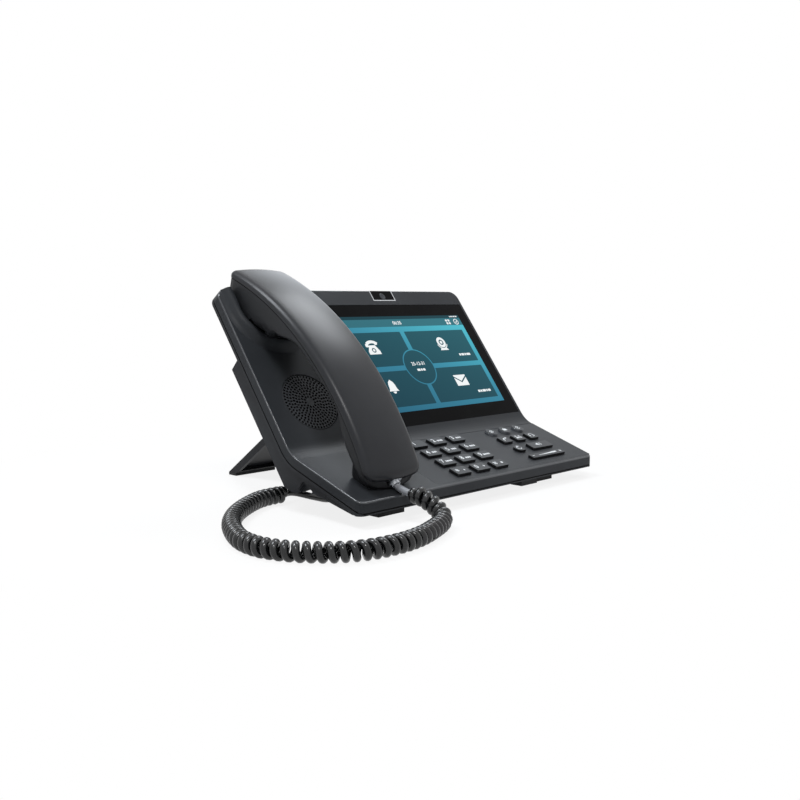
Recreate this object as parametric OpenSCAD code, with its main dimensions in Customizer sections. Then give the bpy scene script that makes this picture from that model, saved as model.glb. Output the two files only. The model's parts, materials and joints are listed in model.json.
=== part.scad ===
/* [Housing] */
// Width of the housing, left to right
body_w = 250; // [246:1:262]
// Height of the front top edge above the desk
front_h = 16; // [15:0.5:20]
// Slope length of the keypad deck, from the front edge to the bend
deck_len = 67.8; // [67:0.2:70]
// Slope length of the display face, from the bend to the top edge
face_len = 131; // [130:0.5:136]
// Tilt of the keypad deck above the desk
deck_tilt = 19.1; // [18.5:0.1:19.6]
// Tilt of the display face above the desk
face_tilt = 53.5; // [53:0.1:54]
// Radius of the hollow bend between deck and face
bend_r = 24; // [20:0.5:27]
// Depth of the front cover's skirt, down to the seam
skirt_h = 6.6; // [6.4:0.1:6.8]
// Thickness of the front cover's skin
skin_t = 3; // [2.8:0.1:3.1]
// Thickness of the skirt and of the rear cover's walls
wall_t = 2.4; // [2:0.1:2.5]
// Height of the vertical front face
front_drop = 8.3; // [8.2:0.1:8.6]
// Depth of the rim that runs round the rear cover, below the surface
rim_h = 9.2; // [9:0.1:9.6]
// Depth of the deep box behind the display, below the surface
box_h = 19.5; // [19.3:0.1:20.5]
// How far up the display face the deep box reaches
box_v1 = 79; // [78:0.5:82]
// How far the deep part of the rear cover stands inside the rim
box_inset = 1.4; // [1:0.1:1.8]
// Radius of the two upper corners
corner_top_r = 8; // [6:0.5:9]
// Radius of the two front corners
corner_front_r = 5; // [4:0.5:5.5]

/* [Keypad] */
// Front edge of the keypad plate along the deck
plate_v0 = 3; // [2.6:0.1:3.4]
// Distance from the keypad plate's back edge to the bend
plate_back = 6.3; // [6:0.1:6.7]
// Thickness of the keypad plate
plate_t = 1.5; // [1.4:0.05:1.6]
// Radius of the keypad plate's left corners
plate_corner_r = 4; // [2:0.5:6]
// Width of a dial key
dial_w = 14.2; // [13:0.1:15]
// Depth of a dial key
dial_l = 9.1; // [8.5:0.1:9.6]
// Distance between dial key columns
dial_pitch_x = 20.5; // [20:0.1:21]
// Distance from the keypad plate's back edge to the middle of the rear dial row
dial_back = 7.35; // [7.2:0.05:7.8]
// Distance from the keypad plate's left edge to the middle of the left dial column
dial_in = 31.8; // [30.5:0.1:33]
// Middle of the front dial row along the deck
dial_v0 = 11.85; // [11.6:0.05:12]
// Height of the keys above the plate
key_rise = 2; // [1.6:0.1:2.4]
// Play between a key and its hole
key_gap = 0.25; // [0.2:0.05:0.3]
// Travel of a key
key_travel = 0.8; // [0.6:0.05:0.85]
// Width of a small function key
func_w = 10.2; // [9.5:0.1:11]
// Depth of a small function key
func_l = 8.9; // [8.5:0.1:9.2]
// Diameter of a round key
round_d = 9.6; // [9:0.1:9.8]
// Distance between the three function key columns
func_pitch = 16.5; // [16:0.1:17]
// Distance from the housing's right side to the middle of the left function key column
func_in = 61.7; // [61:0.1:62.5]
// Length of the volume rocker
rocker_w = 40.6; // [39:0.2:42]
// Depth of the volume rocker
rocker_l = 5.4; // [5:0.1:5.8]
// Radius of the volume rocker's pivot pins
rocker_pin_r = 1; // [0.9:0.05:1.1]

/* [Display] */
// Thickness of the touch glass
glass_t = 1.2; // [1:0.05:1.3]
// Distance from the touch glass to the housing's right side
glass_side = 3.2; // [3:0.1:4]
// Distance from the touch glass to the cover's top edge
glass_top = 14; // [13.5:0.1:16]
// Lower edge of the touch glass along the face
glass_v0 = 8.7; // [8.4:0.1:9]
// Width of the touch glass's border at each side of the display module
lcd_border_w = 6.4; // [6:0.1:7.5]
// Width of the touch glass's border above and below the display module
lcd_border_l = 5.65; // [5.2:0.05:6.2]
// Thickness of the display module
lcd_t = 5; // [4.5:0.1:5.2]
// Width of the camera window
camera_w = 25; // [22:0.5:28]
// Height of the camera window along the face
camera_l = 9; // [8:0.2:10]
// Radius of the camera lens barrel
lens_r = 3.2; // [2.8:0.1:3.5]

/* [Cradle] */
// Width of the cradle side, from the housing's left side to the touch glass
cradle_w = 72; // [72:0.1:74]
// Middle of the speaker grille along the display face
grille_v = 37; // [36:0.5:38]
// Radius of the speaker grille disc
grille_r = 22; // [21:0.1:22.5]
// Distance from the middle of the ear cup to the cover's top edge
cup_in = 19; // [18.5:0.1:19.5]
// Inner radius of the ear cup
cup_r = 26; // [25.9:0.1:26.4]
// Height of the ear cup's lip above the face
cup_lip_h = 4.8; // [4:0.1:5.2]
// Depth of the ear cup's floor below the face
cup_floor_h = 3; // [2.8:0.1:3.2]
// Radius of the hook plunger
hook_r = 3.5; // [3:0.1:4]
// Travel of the hook plunger
hook_travel = 1.5; // [1.2:0.05:1.6]

/* [Handset] */
// Width of the handset
handset_w = 48; // [46:0.2:48.6]
// Lean of the handset's length above the desk
handset_tilt = 43.5; // [43.4:0.02:43.6]
// Length of the handset
handset_len = 193.2; // [192:0.2:194]
// Radius of the handset's arched back
crown_r = 234; // [230:0.5:238]
// Height of the arched back above the handset's lower corner
crown_h = 26.5; // [26:0.1:27.5]
// Depth of the outer shell's edge, down to the seam
handset_seam = 6; // [5.6:0.1:6.4]
// Wall of the handset's shells
handset_wall = 2.2; // [1.8:0.1:2.3]
// Radius of the receiver
receiver_r = 13; // [12:0.5:14]

/* [Stand] */
// Width of the stand
stand_w = 136; // [130:1:140]
// Depth of the stand's ribs
stand_t = 5.5; // [5:0.1:6]
// Slope of the stand below level
stand_slope = 35.5; // [34.5:0.1:36.5]
// Where the stand's hinge sits along the display face
hinge_v = 52; // [51:0.2:53]
// Radius of the stand's hinge pins
hinge_pin_r = 2; // [1.8:0.1:2.2]
// Width of the arch between the stand's feet
arch_w = 58; // [54:1:62]
// Height of the arch along the stand
arch_l = 26; // [22:0.5:30]
// Thickness of the rubber foot pads
pad_t = 3; // [2:0.1:3.5]

/* [Ports] */
// Height of the cable bay's roof above the desk
bay_h = 18; // [17.8:0.1:18.4]
// Height of the jack bodies
jack_h = 13; // [12.4:0.1:13.2]
// Width of a network jack
lan_w = 16; // [15.5:0.1:16.5]
// Distance from the middle of the cradle to the middle of the handset jack
cord_jack_in = 2.75; // [1:0.1:4.5]

/* [Cord] */
// Outer diameter of the curly cord's coil
coil_d = 12; // [11:0.5:12]
// Diameter of the cord itself
cord_d = 4.6; // [4.2:0.1:4.6]

/* [Hidden] */
$fn = 48;

// Gap between pieces that lie near each other, and running clearance of a shaft in its bore
rest_gap = 0.3;
fit = 0.05;
over = 1;

// Where the deck meets the face, in a frame whose origin is the front top edge
bend_y = deck_len * cos(deck_tilt);
bend_z = deck_len * sin(deck_tilt);
mid_tilt = (deck_tilt + face_tilt) / 2;
half_turn = (face_tilt - deck_tilt) / 2;
bend_cy = bend_y - sin(mid_tilt) * bend_r / cos(half_turn);
bend_cz = bend_z + cos(mid_tilt) * bend_r / cos(half_turn);
bend_steps = 8;
side_x = body_w / 2;
cradle_x = cradle_w / 2 + 0.25 - side_x;
cup_v = face_len - cup_in;

// A point at depth h under the deck, at distance y behind the front
function under_deck(y, h) = [y, y * tan(deck_tilt) + h / cos(deck_tilt)];

// A point at height h over the display face, at distance v above the bend
function over_face(v, h) = [
  bend_y + v * cos(face_tilt) - h * sin(face_tilt),
  bend_z + v * sin(face_tilt) + h * cos(face_tilt)
];

// A line that follows the top surface at height h, cut short at its front and at its top
function skin_line(h, front, top) = concat(
  [under_deck(front, h)],
  [for (i = [0:bend_steps])
    let (a = deck_tilt + (face_tilt - deck_tilt) * i / bend_steps)
    [bend_cy + (bend_r - h) * sin(a), bend_cz - (bend_r - h) * cos(a)]],
  [over_face(face_len - top, h)]
);

function reversed(list) = [for (i = [len(list) - 1:-1:0]) list[i]];

// Stand: hinge axis, and points at distance u from it along the plate and w across the plate
hinge_off = 5;
hinge = over_face(hinge_v, -box_h - hinge_off);
stand_pad_t = 2;
foot_z = stand_pad_t - front_h;
function on_plate(u, w) = [
  hinge[0] + u * cos(stand_slope) + w * sin(stand_slope),
  hinge[1] - u * sin(stand_slope) + w * cos(stand_slope)
];
function plate_end(w) = (hinge[1] - foot_z + w * cos(stand_slope)) / sin(stand_slope);
stand_back = on_plate(plate_end(stand_t / 2), stand_t / 2)[0];
home_y = -stand_back / 2;

module at_home() {
  translate([0, home_y, front_h]) children();
}

module on_deck() {
  at_home() rotate([deck_tilt, 0, 0]) children();
}

module on_face() {
  at_home() translate([0, bend_y, bend_z]) rotate([face_tilt, 0, 0]) children();
}

// Extrudes a side outline from x0 to x1
module across(x0, x1) {
  translate([x0, 0, 0]) rotate([90, 0, 90]) linear_extrude(x1 - x0) children();
}

// A sheet that follows the top surface between heights h0 and h1
module skin_band(x0, x1, h0, h1, front, top) {
  across(x0, x1)
    polygon(concat(skin_line(h1, front, top), reversed(skin_line(h0, front, top))));
}

// Takes the sharp edge off a corner that lies at the origin, towards -x and -y
module corner_cut(r, depth) {
  translate([-r, -r, 0]) difference() {
    translate([0, 0, -depth]) cube([r + over, r + over, 2 * depth]);
    cylinder(r = r, h = 2 * depth + over, center = true);
  }
}

// The two upper and the two front corners of the housing
module outer_corners(inset) {
  cut_depth = 40;
  for (side = [-1, 1]) {
    on_face() translate([side * (side_x - inset), face_len - inset, 0])
      mirror([side < 0 ? 1 : 0, 0, 0]) corner_cut(corner_top_r, cut_depth);
    at_home() translate([side * (side_x - inset), inset, 0])
      mirror([side < 0 ? 1 : 0, 0, 0]) mirror([0, 1, 0]) corner_cut(corner_front_r, cut_depth);
  }
}

// A flat shape with rounded corners
module rounded(w, l, r) {
  square([w - 2 * r, l], center = true);
  square([w, l - 2 * r], center = true);
  for (i = [-1, 1])
    for (j = [-1, 1])
      translate([i * (w / 2 - r), j * (l / 2 - r)]) circle(r = r);
}

module block(x0, x1, y0, y1, z0, z1) {
  translate([x0, y0, z0]) cube([x1 - x0, y1 - y0, z1 - z0]);
}

// A rod along the x axis at side position p
module rod(x0, x1, p, r) {
  translate([x0, p[0], p[1]]) rotate([0, 90, 0]) cylinder(r = r, h = x1 - x0);
}

// Screws: the six that hold the covers together, three on each side
screw_in = 6;
screw_x = side_x - screw_in;
screw_r = 1.48;
screw_bore_r = 1.5;
screw_head_r = 2.8;
screw_head_t = 1.8;
screw_tip_h = 3.8;
post_r = 3.8;
face_screw_low_v = 10.2;
face_screw_high_v = face_len - 10;
deck_screw_v = 13;
deep_seat_h = 9;
shallow_seat_h = rim_h - screw_head_t;
deck_seat_h = 8.6;

// ---- Front cover ----
// The keypad plate's outline, larger by grow; its left corners are round and its right edge is the side
module plate_outline(grow) {
  r = plate_corner_r + grow;
  v0 = plate_v0 - grow;
  v1 = plate_v1 + grow;
  x1 = side_x + (grow > 0 ? over : 0);
  translate([plate_x0 - grow, v0 + r]) square([x1 - plate_x0 + grow, v1 - v0 - 2 * r]);
  translate([plate_x0 - grow + r, v0]) square([x1 - plate_x0 + grow - r, v1 - v0]);
  for (v = [v0 + r, v1 - r])
    translate([plate_x0 - grow + r, v]) circle(r = r);
}

plate_ledge = 1.2;
plate_side_ledge = 10.5;
plate_play = 0.1;
plate_v1 = deck_len - plate_back;
plate_x0 = cradle_w - side_x + 0.5;
glass_sink = 0.2;
glass_play = 0.15;
glass_x0 = cradle_w - side_x;
glass_x1 = side_x - glass_side;
glass_w = glass_x1 - glass_x0;
glass_l = face_len - glass_top - glass_v0;
lcd_w = glass_w - 2 * lcd_border_w;
lcd_l = glass_l - 2 * lcd_border_l;
glass_x = (glass_x0 + glass_x1) / 2;
glass_v = glass_v0 + glass_l / 2;
glass_bottom = glass_sink + glass_t;
camera_x = glass_x - 0.9;
camera_sink = 0.3;
camera_depth = 2.2;
camera_v = face_len - camera_l / 2 - 1;
grille_sink = 0.3;
grille_t = 1.4;
grille_play = 0.1;
grille_ledge = 2;
ridge_steps = [[0, 0.93], [0.08, 0.99], [0.17, 1], [0.3, 0.94], [0.45, 0.74], [0.62, 0.42], [0.8, 0.15], [1, 0]];
cup_flank = glass_x0 - cradle_x - cup_r - 0.4;
cup_pan_t = 1.8;
cup_end = 1.5;
hook_v = 22;

// Half of the ridge round the cup: a rounded lip, then a hollow flank that runs out into the face
function ridge_half(side) = [
  for (p = ridge_steps) [side * (cup_r + p[0] * cup_flank), p[1] * cup_lip_h]
];

module cup_ridge() {
  intersection() {
    union() {
      translate([cradle_x, cup_v, 0]) rotate_extrude()
        polygon(concat([[0, -over], [0, cup_lip_h * ridge_steps[0][1]]], ridge_half(1), [[cup_r + cup_flank, -over]]));
      translate([cradle_x, face_len, 0]) rotate([90, 0, 0]) linear_extrude(face_len - cup_v)
        polygon(concat([[-cup_r - cup_flank, -over]], reversed(ridge_half(-1)), ridge_half(1),
          [[cup_r + cup_flank, -over]]));
    }
    block(-side_x, glass_x0 - glass_play, 0, face_len - cup_end, -over, cup_lip_h + over);
  }
  translate([cradle_x, cup_v, -cup_floor_h - cup_pan_t]) {
    cylinder(r = cup_r + wall_t, h = cup_floor_h + cup_pan_t - skin_t + over);
    block(-cup_r - wall_t, cup_r + wall_t, 0, face_len - cup_v - over, 0,
      cup_floor_h + cup_pan_t - skin_t + over);
  }
}

module cup_hollow() {
  hollow_h = 20;
  translate([cradle_x, cup_v, -cup_floor_h]) {
    cylinder(r = cup_r, h = hollow_h);
    block(-cup_r, cup_r, 0, face_len, 0, hollow_h);
  }
}

module cover_posts(bottom_face, bottom_deck) {
  for (side = [-1, 1]) {
    on_face() for (v = [face_screw_low_v, face_screw_high_v])
      translate([side * screw_x, v, -bottom_face]) cylinder(r = post_r, h = bottom_face - skin_t + over);
    on_deck() translate([side * screw_x, deck_screw_v, -bottom_deck])
      cylinder(r = post_r, h = bottom_deck - skin_t + over);
  }
}

module cover_bores(r, from_h) {
  for (side = [-1, 1]) {
    on_face() for (v = [face_screw_low_v, face_screw_high_v])
      translate([side * screw_x, v, -from_h]) cylinder(r = r, h = from_h - screw_tip_h + over / 2);
    on_deck() translate([side * screw_x, deck_screw_v, -from_h])
      cylinder(r = r, h = from_h - screw_tip_h + over / 2);
  }
}

module front_cover() {
  color("#4a4b4e") difference() {
    union() {
      difference() {
        at_home() skin_band(-side_x, side_x, -skirt_h, 0, 0, 0);
        at_home() skin_band(wall_t - side_x, side_x - wall_t, -skirt_h - over, -skin_t, wall_t, wall_t);
      }
      on_face() cup_ridge();
      cover_posts(skirt_h, skirt_h);
    }
    outer_corners(0);
    on_deck() {
      translate([0, 0, -plate_t]) linear_extrude(plate_t + over) plate_outline(plate_play);
      block(plate_x0 + plate_ledge, side_x - plate_side_ledge, plate_v0 + plate_ledge,
        plate_v1 - plate_ledge, -skirt_h - over, over);
      translate([cradle_x, hook_v, -skirt_h]) cylinder(r = hook_r + fit, h = skirt_h + over);
    }
    on_face() {
      block(glass_x0 - glass_play, glass_x1 + glass_play, glass_v0 - glass_play,
        glass_v0 + glass_l + glass_play, -glass_bottom, over);
      block(glass_x - lcd_w / 2 - rest_gap, glass_x + lcd_w / 2 + rest_gap,
        glass_v - lcd_l / 2 - rest_gap, glass_v + lcd_l / 2 + rest_gap, -skirt_h - over, over);
      block(camera_x - camera_w / 2, camera_x + camera_w / 2, face_len - camera_l - 1, face_len + over,
        -camera_depth, over);
      translate([camera_x, camera_v, -skirt_h]) cylinder(r = lens_r + fit, h = skirt_h);
      translate([cradle_x, grille_v, -grille_sink - grille_t]) {
        cylinder(r = grille_r + grille_play, h = grille_sink + grille_t + over);
        translate([0, 0, -skirt_h]) cylinder(r = grille_r - grille_ledge, h = skirt_h + over);
      }
      cup_hollow();
    }
    cover_bores(screw_bore_r, skirt_h + over);
  }
}

// ---- Rear cover ----
under_y0 = 8.5;
under_tilt = 12.9;
bay_y0 = 50;
bay_front_y = 53;
bay_wall_y0 = 59;
bay_wall_y1 = 65.5;
bay_wall_z = -2;
box_v0 = -13;
roof_z = bay_h - front_h;
rim_floor_t = 2.2;
inner_x = side_x - box_inset - wall_t;
foot_x0 = side_x - 55;
foot_x1 = side_x - 31;
foot_y0 = 16;
foot_y1 = 28;
mic_x0 = foot_x0 - 20;
mic_x1 = foot_x0 - 1;
mic_y = 17;
mic_r = 3;
mic_t = 2.7;
mic_boss_gap = 0.5;
mic_boss_r = 5;
lug_t = 3.5;
lug_r = 3.6;
knuckle_x0 = 40;
knuckle_x1 = 52;
knuckle_gap = 0.5;
board_t = 1.2;

function underside(y) = -front_drop + max(0, y - under_y0) * tan(under_tilt);

// Where a sheet at height h over the face reaches the level z
function back_y(z, h) =
  bend_y - h * sin(face_tilt) + (z - bend_z - h * cos(face_tilt)) / tan(face_tilt);

module rim_outline() {
  rim_front = (rim_h / cos(deck_tilt) - front_drop) / tan(deck_tilt);
  low = skin_line(-rim_h, rim_front, 0);
  polygon(concat(skin_line(-skirt_h, 0, 0), reversed(concat([[0, -front_drop]], low))));
}

module deep_outline() {
  polygon(concat(
    skin_line(-skirt_h, box_inset, face_len - box_v1 - 1),
    [
      over_face(box_v1 + 1, -rim_h), over_face(box_v1 - 1, -box_h), over_face(box_v0, -box_h),
      [bay_wall_y1, bay_wall_z], [bay_wall_y0, bay_wall_z], [bay_y0, underside(bay_y0)],
      [under_y0, -front_drop], [box_inset, -front_drop]
    ]
  ));
}

module hollow_outline() {
  floor_h = rim_floor_t - rim_h;
  back_h = wall_t - box_h;
  front_y = box_inset + wall_t;
  polygon(concat(
    skin_line(over - skirt_h, front_y, wall_t + box_inset),
    [
      over_face(face_len - wall_t - box_inset, floor_h), over_face(box_v1 - wall_t, floor_h),
      over_face(box_v1 - wall_t, back_h), [back_y(roof_z + wall_t, back_h), roof_z + wall_t],
      [bay_y0, roof_z + wall_t], [bay_y0 - 3, underside(bay_y0 - 3) + wall_t],
      [under_y0, wall_t - front_drop], [front_y, wall_t - front_drop]
    ]
  ));
}

module bay_outline() {
  back_h = wall_t - box_h;
  low_z = -front_h;
  polygon([
    [bay_front_y, low_z], [bay_front_y, roof_z], [back_y(roof_z, back_h), roof_z],
    [back_y(low_z, back_h), low_z]
  ]);
}

// The notch in the left wall that lets the handset cord out, and the hood behind it
module cord_notch(grow) {
  polygon([
    [45 - grow, -front_h], [45 - grow, 1 + grow], [53.8, 6.2 + grow], [59 + grow, 1 + grow],
    [60 + grow, -front_h]
  ]);
}

lan_d = 13;
jack_y1 = back_y(roof_z, wall_t - box_h) - rest_gap;
jack_y0 = jack_y1 - lan_d;
jack_y = (jack_y0 + jack_y1) / 2;
jack_play = 0.15;
lan_xs = [-24, -2];
power_x = 22;
power_w = 9;
cord_jack_w = 11;
cord_jack_d = 10;
cord_jack_x = cradle_x + cord_jack_in;

module jack_holes() {
  for (x = lan_xs)
    block(x - lan_w / 2 - jack_play, x + lan_w / 2 + jack_play, jack_y0 - jack_play,
      jack_y1 + jack_play, roof_z - over, roof_z + wall_t + over);
  block(power_x - power_w / 2 - jack_play, power_x + power_w / 2 + jack_play, jack_y0 - jack_play,
    jack_y1 + jack_play, roof_z - over, roof_z + wall_t + over);
  block(cord_jack_x - cord_jack_w / 2 - jack_play, cord_jack_x + cord_jack_w / 2 + jack_play,
    jack_y - cord_jack_d / 2 - jack_play, jack_y + cord_jack_d / 2 + jack_play,
    roof_z - over, roof_z + wall_t + over);
}

module hinge_lugs() {
  for (side = [-1, 1])
    for (x = [knuckle_x0 - knuckle_gap - lug_t, knuckle_x1 + knuckle_gap])
      on_face() translate([side * (x + lug_t / 2), hinge_v, -box_h]) {
        block(-lug_t / 2, lug_t / 2, -lug_r, lug_r, -hinge_off, over);
        translate([0, 0, -hinge_off]) rotate([0, 90, 0])
          cylinder(r = lug_r, h = lug_t, center = true);
      }
}

// Main board and keypad board, and the screws that hold them on posts
main_x0 = glass_x0 + 3;
main_x1 = side_x - 13;
main_v0 = 14;
main_v1 = box_v1 - 4;
main_h = 9.5;
main_screw_in = 6;
main_screw_xs = [main_x0 + main_screw_in, main_x1 - main_screw_in];
main_screw_vs = [main_v0 + main_screw_in, main_v1 - main_screw_in];
pad_x0 = plate_x0 + 4.5;
pad_x1 = side_x - 12;
pad_v0 = plate_v0 + 3;
pad_v1 = plate_v1 - 4.5;
pad_h = 6.5;
pad_screw_xs = [pad_x0 + 5, pad_x1 - 3.5];
pad_screw_vs = [pad_v0 + 6, pad_v1 - 7];
board_screw_r = 1.2;
board_bore_r = 1.22;
board_post_r = 3;
board_head_r = 2.2;
board_head_t = 1.4;
board_screw_len = 2.8;

module board_spots() {
  on_face() for (x = main_screw_xs)
    for (v = main_screw_vs)
      translate([x, v, -main_h]) children();
  on_deck() for (x = pad_screw_xs)
    for (v = pad_screw_vs)
      translate([x, v, -pad_h]) children();
}

module board_posts() {
  on_face() for (x = main_screw_xs)
    for (v = main_screw_vs)
      translate([x, v, over - box_h]) cylinder(r = board_post_r, h = box_h - over - main_h - board_t);
  difference() {
    intersection() {
      on_deck() for (x = pad_screw_xs)
        for (v = pad_screw_vs)
          translate([x, v, -box_h]) cylinder(r = board_post_r, h = box_h - pad_h - board_t);
      at_home() across(-side_x, side_x) deep_outline();
    }
    at_home() across(-inner_x, inner_x) bay_outline();
  }
}

// A block that stands out of the underside, down to height z0 above the desk
module under_boss(x0, x1, y0, y1, z0) {
  low = z0 - front_h;
  at_home() across(x0, x1)
    polygon([[y0, low], [y1, low], [y1, underside(y1) + over], [y0, underside(y0) + over]]);
}

module rear_cover() {
  color("#2f3032") difference() {
    union() {
      difference() {
        union() {
          at_home() across(-side_x, side_x) rim_outline();
          at_home() across(box_inset - side_x, side_x - box_inset) deep_outline();
        }
        at_home() across(-inner_x, inner_x) hollow_outline();
        at_home() across(-inner_x, inner_x) bay_outline();
      }
      at_home() intersection() {
        across(-inner_x - over, 3 - inner_x) cord_notch(2);
        across(-side_x, side_x) deep_outline();
      }
      intersection() {
        cover_posts_rear();
        union() {
          at_home() across(-side_x, side_x) rim_outline();
          at_home() across(-side_x, side_x) deep_outline();
        }
      }
      board_posts();
      hinge_lugs();
      for (side = [-1, 1])
        under_boss(side < 0 ? -foot_x1 : foot_x0, side < 0 ? -foot_x0 : foot_x1, foot_y0, foot_y1, pad_t);
      under_boss(mic_x0, mic_x1, mic_y - mic_boss_r, mic_y + mic_boss_r, mic_boss_gap);
    }
    outer_corners(0);
    at_home() {
      across(-side_x - over, 1 - inner_x) cord_notch(0);
      jack_holes();
      translate([(mic_x0 + mic_x1) / 2, mic_y, -front_h]) cylinder(r = mic_r + fit, h = mic_t + 1);
      for (side = [-1, 1])
        rod(side < 0 ? -knuckle_x1 - 2 * lug_t : knuckle_x0 - 2 * lug_t,
          side < 0 ? -knuckle_x0 + 2 * lug_t : knuckle_x1 + 2 * lug_t, hinge, hinge_pin_r + fit / 5);
    }
    screw_seats();
    board_spots() translate([0, 0, -board_screw_len - over]) cylinder(r = board_bore_r, h = board_screw_len);
  }
}

module cover_posts_rear() {
  for (side = [-1, 1]) {
    on_face() for (v = [face_screw_low_v, face_screw_high_v])
      translate([side * screw_x, v, -box_h]) cylinder(r = post_r, h = box_h - skirt_h);
    on_deck() translate([side * screw_x, deck_screw_v, -box_h])
      cylinder(r = post_r, h = box_h - skirt_h);
  }
}

// A bore for each cover screw and the recess for its head
module screw_seats() {
  bore_up = 3 * over;
  for (side = [-1, 1]) {
    on_face() translate([side * screw_x, face_screw_low_v, 0]) {
      translate([0, 0, -deep_seat_h - over]) cylinder(r = screw_r + 0.2, h = deep_seat_h);
      translate([0, 0, -box_h - over]) cylinder(r = screw_head_r + 0.2, h = box_h + over - deep_seat_h);
    }
    on_face() translate([side * screw_x, face_screw_high_v, 0]) {
      translate([0, 0, -shallow_seat_h - over]) cylinder(r = screw_r + 0.2, h = shallow_seat_h);
      translate([0, 0, -rim_h - bore_up]) cylinder(r = screw_head_r + 0.2, h = rim_h + bore_up - shallow_seat_h);
    }
    on_deck() translate([side * screw_x, deck_screw_v, 0]) {
      translate([0, 0, -deck_seat_h - over]) cylinder(r = screw_r + 0.2, h = deck_seat_h);
      translate([0, 0, -box_h]) cylinder(r = screw_head_r + 0.2, h = box_h - deck_seat_h);
    }
  }
}

module cover_screws() {
  color("silver") for (side = [-1, 1]) {
    on_face() translate([side * screw_x, face_screw_low_v, 0]) screw_from(deep_seat_h);
    on_face() translate([side * screw_x, face_screw_high_v, 0]) screw_from(shallow_seat_h);
    on_deck() translate([side * screw_x, deck_screw_v, 0]) screw_from(deck_seat_h);
  }
}

module screw_from(seat) {
  translate([0, 0, -seat]) cylinder(r = screw_r, h = seat - screw_tip_h);
  translate([0, 0, -seat - screw_head_t]) cylinder(r = screw_head_r, h = screw_head_t);
}

// ---- Keys ----
flange_t = 0.9;
flange_w = 0.7;
round_flange_w = 0.4;
key_corner = 0.8;
stem_r = 2;
stem_t = 1.1;
func_corner = 1;
dial_x0 = plate_x0 + dial_in;
func_x0 = side_x - func_in;
half_x = func_x0 - 1.3;
half_r = 4;
speaker_key_x0 = func_x0 + 12.5;
speaker_key_w = 24.8;
speaker_key_l = 8.4;
speaker_key_x = speaker_key_x0 + speaker_key_w / 2;
rocker_x = func_x0 + 16.4;
rocker_lug_t = 1.2;
rocker_pin_h = 3.2;
stem_end = plate_t + key_gap + flange_t + stem_t;
dome_h = stem_end + key_travel + rest_gap;
dome_r = 3;
mat_t = 1;
dial_rows = 4;
dial_pitch_v = (plate_v1 - dial_back - dial_v0) / (dial_rows - 1);
function dial_x(column) = dial_x0 + column * dial_pitch_x;
function dial_v(row) = dial_v0 + row * dial_pitch_v;
function func_x(column) = func_x0 + column * func_pitch;

// The keys on the right stand beside the dial rows, each a little off its row
rocker_v = dial_v(0) + 0.15;
speaker_key_v = dial_v(1) - 0.15;
half_v = dial_v(1) + 0.05;
func_v = dial_v(2) + 0.8;
round_v = dial_v(3) + 0.65;
key_spots = concat(
  [for (c = [0:2]) for (r = [0:dial_rows - 1]) [dial_x(c), dial_v(r)]],
  [for (c = [0:2]) [func_x(c), func_v]],
  [for (c = [0:2]) [func_x(c), round_v]],
  [[half_x, half_v], [speaker_key_x, speaker_key_v]]
);

module half_round(grow) {
  circle(r = half_r + grow);
  translate([0, -half_r - grow]) square([half_r + grow, 2 * (half_r + grow)]);
}

// The outline of every key in its place, larger all round by grow
module key_outlines(grow) {
  for (c = [0:2]) {
    for (r = [0:dial_rows - 1])
      translate([dial_x(c), dial_v(r)])
        rounded(dial_w + 2 * grow, dial_l + 2 * grow, key_corner + grow);
    translate([func_x(c), func_v]) rounded(func_w + 2 * grow, func_l + 2 * grow, func_corner + grow);
    translate([func_x(c), round_v]) circle(r = round_d / 2 + grow);
  }
  translate([half_x, half_v]) half_round(grow);
  translate([speaker_key_x, speaker_key_v])
    rounded(speaker_key_w + 2 * grow, speaker_key_l + 2 * grow, key_corner + grow);
  translate([rocker_x, rocker_v]) rounded(rocker_w + 2 * grow, rocker_l + 2 * grow, key_corner + grow);
}

module rocker_lugs() {
  inner_v = rocker_l / 2 + key_gap;
  for (side = [-1, 1])
    translate([rocker_x, rocker_v + side * (inner_v + rocker_lug_t / 2), -rocker_pin_h])
      rotate([90, 0, 0]) difference() {
        union() {
          cylinder(r = rocker_pin_r + 0.9, h = rocker_lug_t, center = true);
          block(-rocker_pin_r - 0.9, rocker_pin_r + 0.9, 0, rocker_pin_h - plate_t + over / 2,
            -rocker_lug_t / 2, rocker_lug_t / 2);
        }
        cylinder(r = rocker_pin_r + fit, h = rocker_lug_t + over, center = true);
      }
}

module keypad_plate() {
  color("#54565a") on_deck() {
    translate([0, 0, -plate_t]) linear_extrude(plate_t) difference() {
      plate_outline(0);
      key_outlines(key_gap);
    }
    rocker_lugs();
  }
}

module key_stack(x, v, flange) {
  on_deck() translate([x, v, -plate_t - key_gap]) {
    linear_extrude(plate_t + key_gap + key_rise) children(0);
    translate([0, 0, -flange_t]) linear_extrude(flange_t) children(1);
    translate([0, 0, -flange_t - stem_t]) cylinder(r = stem_r, h = stem_t + flange);
  }
}

module box_key(x, v, w, l, corner) {
  color("#1d1e20") key_stack(x, v, over / 2) {
    rounded(w, l, corner);
    rounded(w + 2 * flange_w, l + 2 * flange_w, corner);
  }
}

module dial_key(column, row) {
  box_key(dial_x(column), dial_v(row), dial_w, dial_l, key_corner);
}

module function_key(column) {
  box_key(func_x(column), func_v, func_w, func_l, func_corner);
}

module round_key(column) {
  color("#1d1e20") key_stack(func_x(column), round_v, over / 2) {
    circle(r = round_d / 2);
    circle(r = round_d / 2 + round_flange_w);
  }
}

module half_key() {
  color("#1d1e20") key_stack(half_x, half_v, over / 2) {
    half_round(0);
    half_round(flange_w);
  }
}

module speaker_key() {
  box_key(speaker_key_x, speaker_key_v, speaker_key_w, speaker_key_l, key_corner);
}

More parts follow.
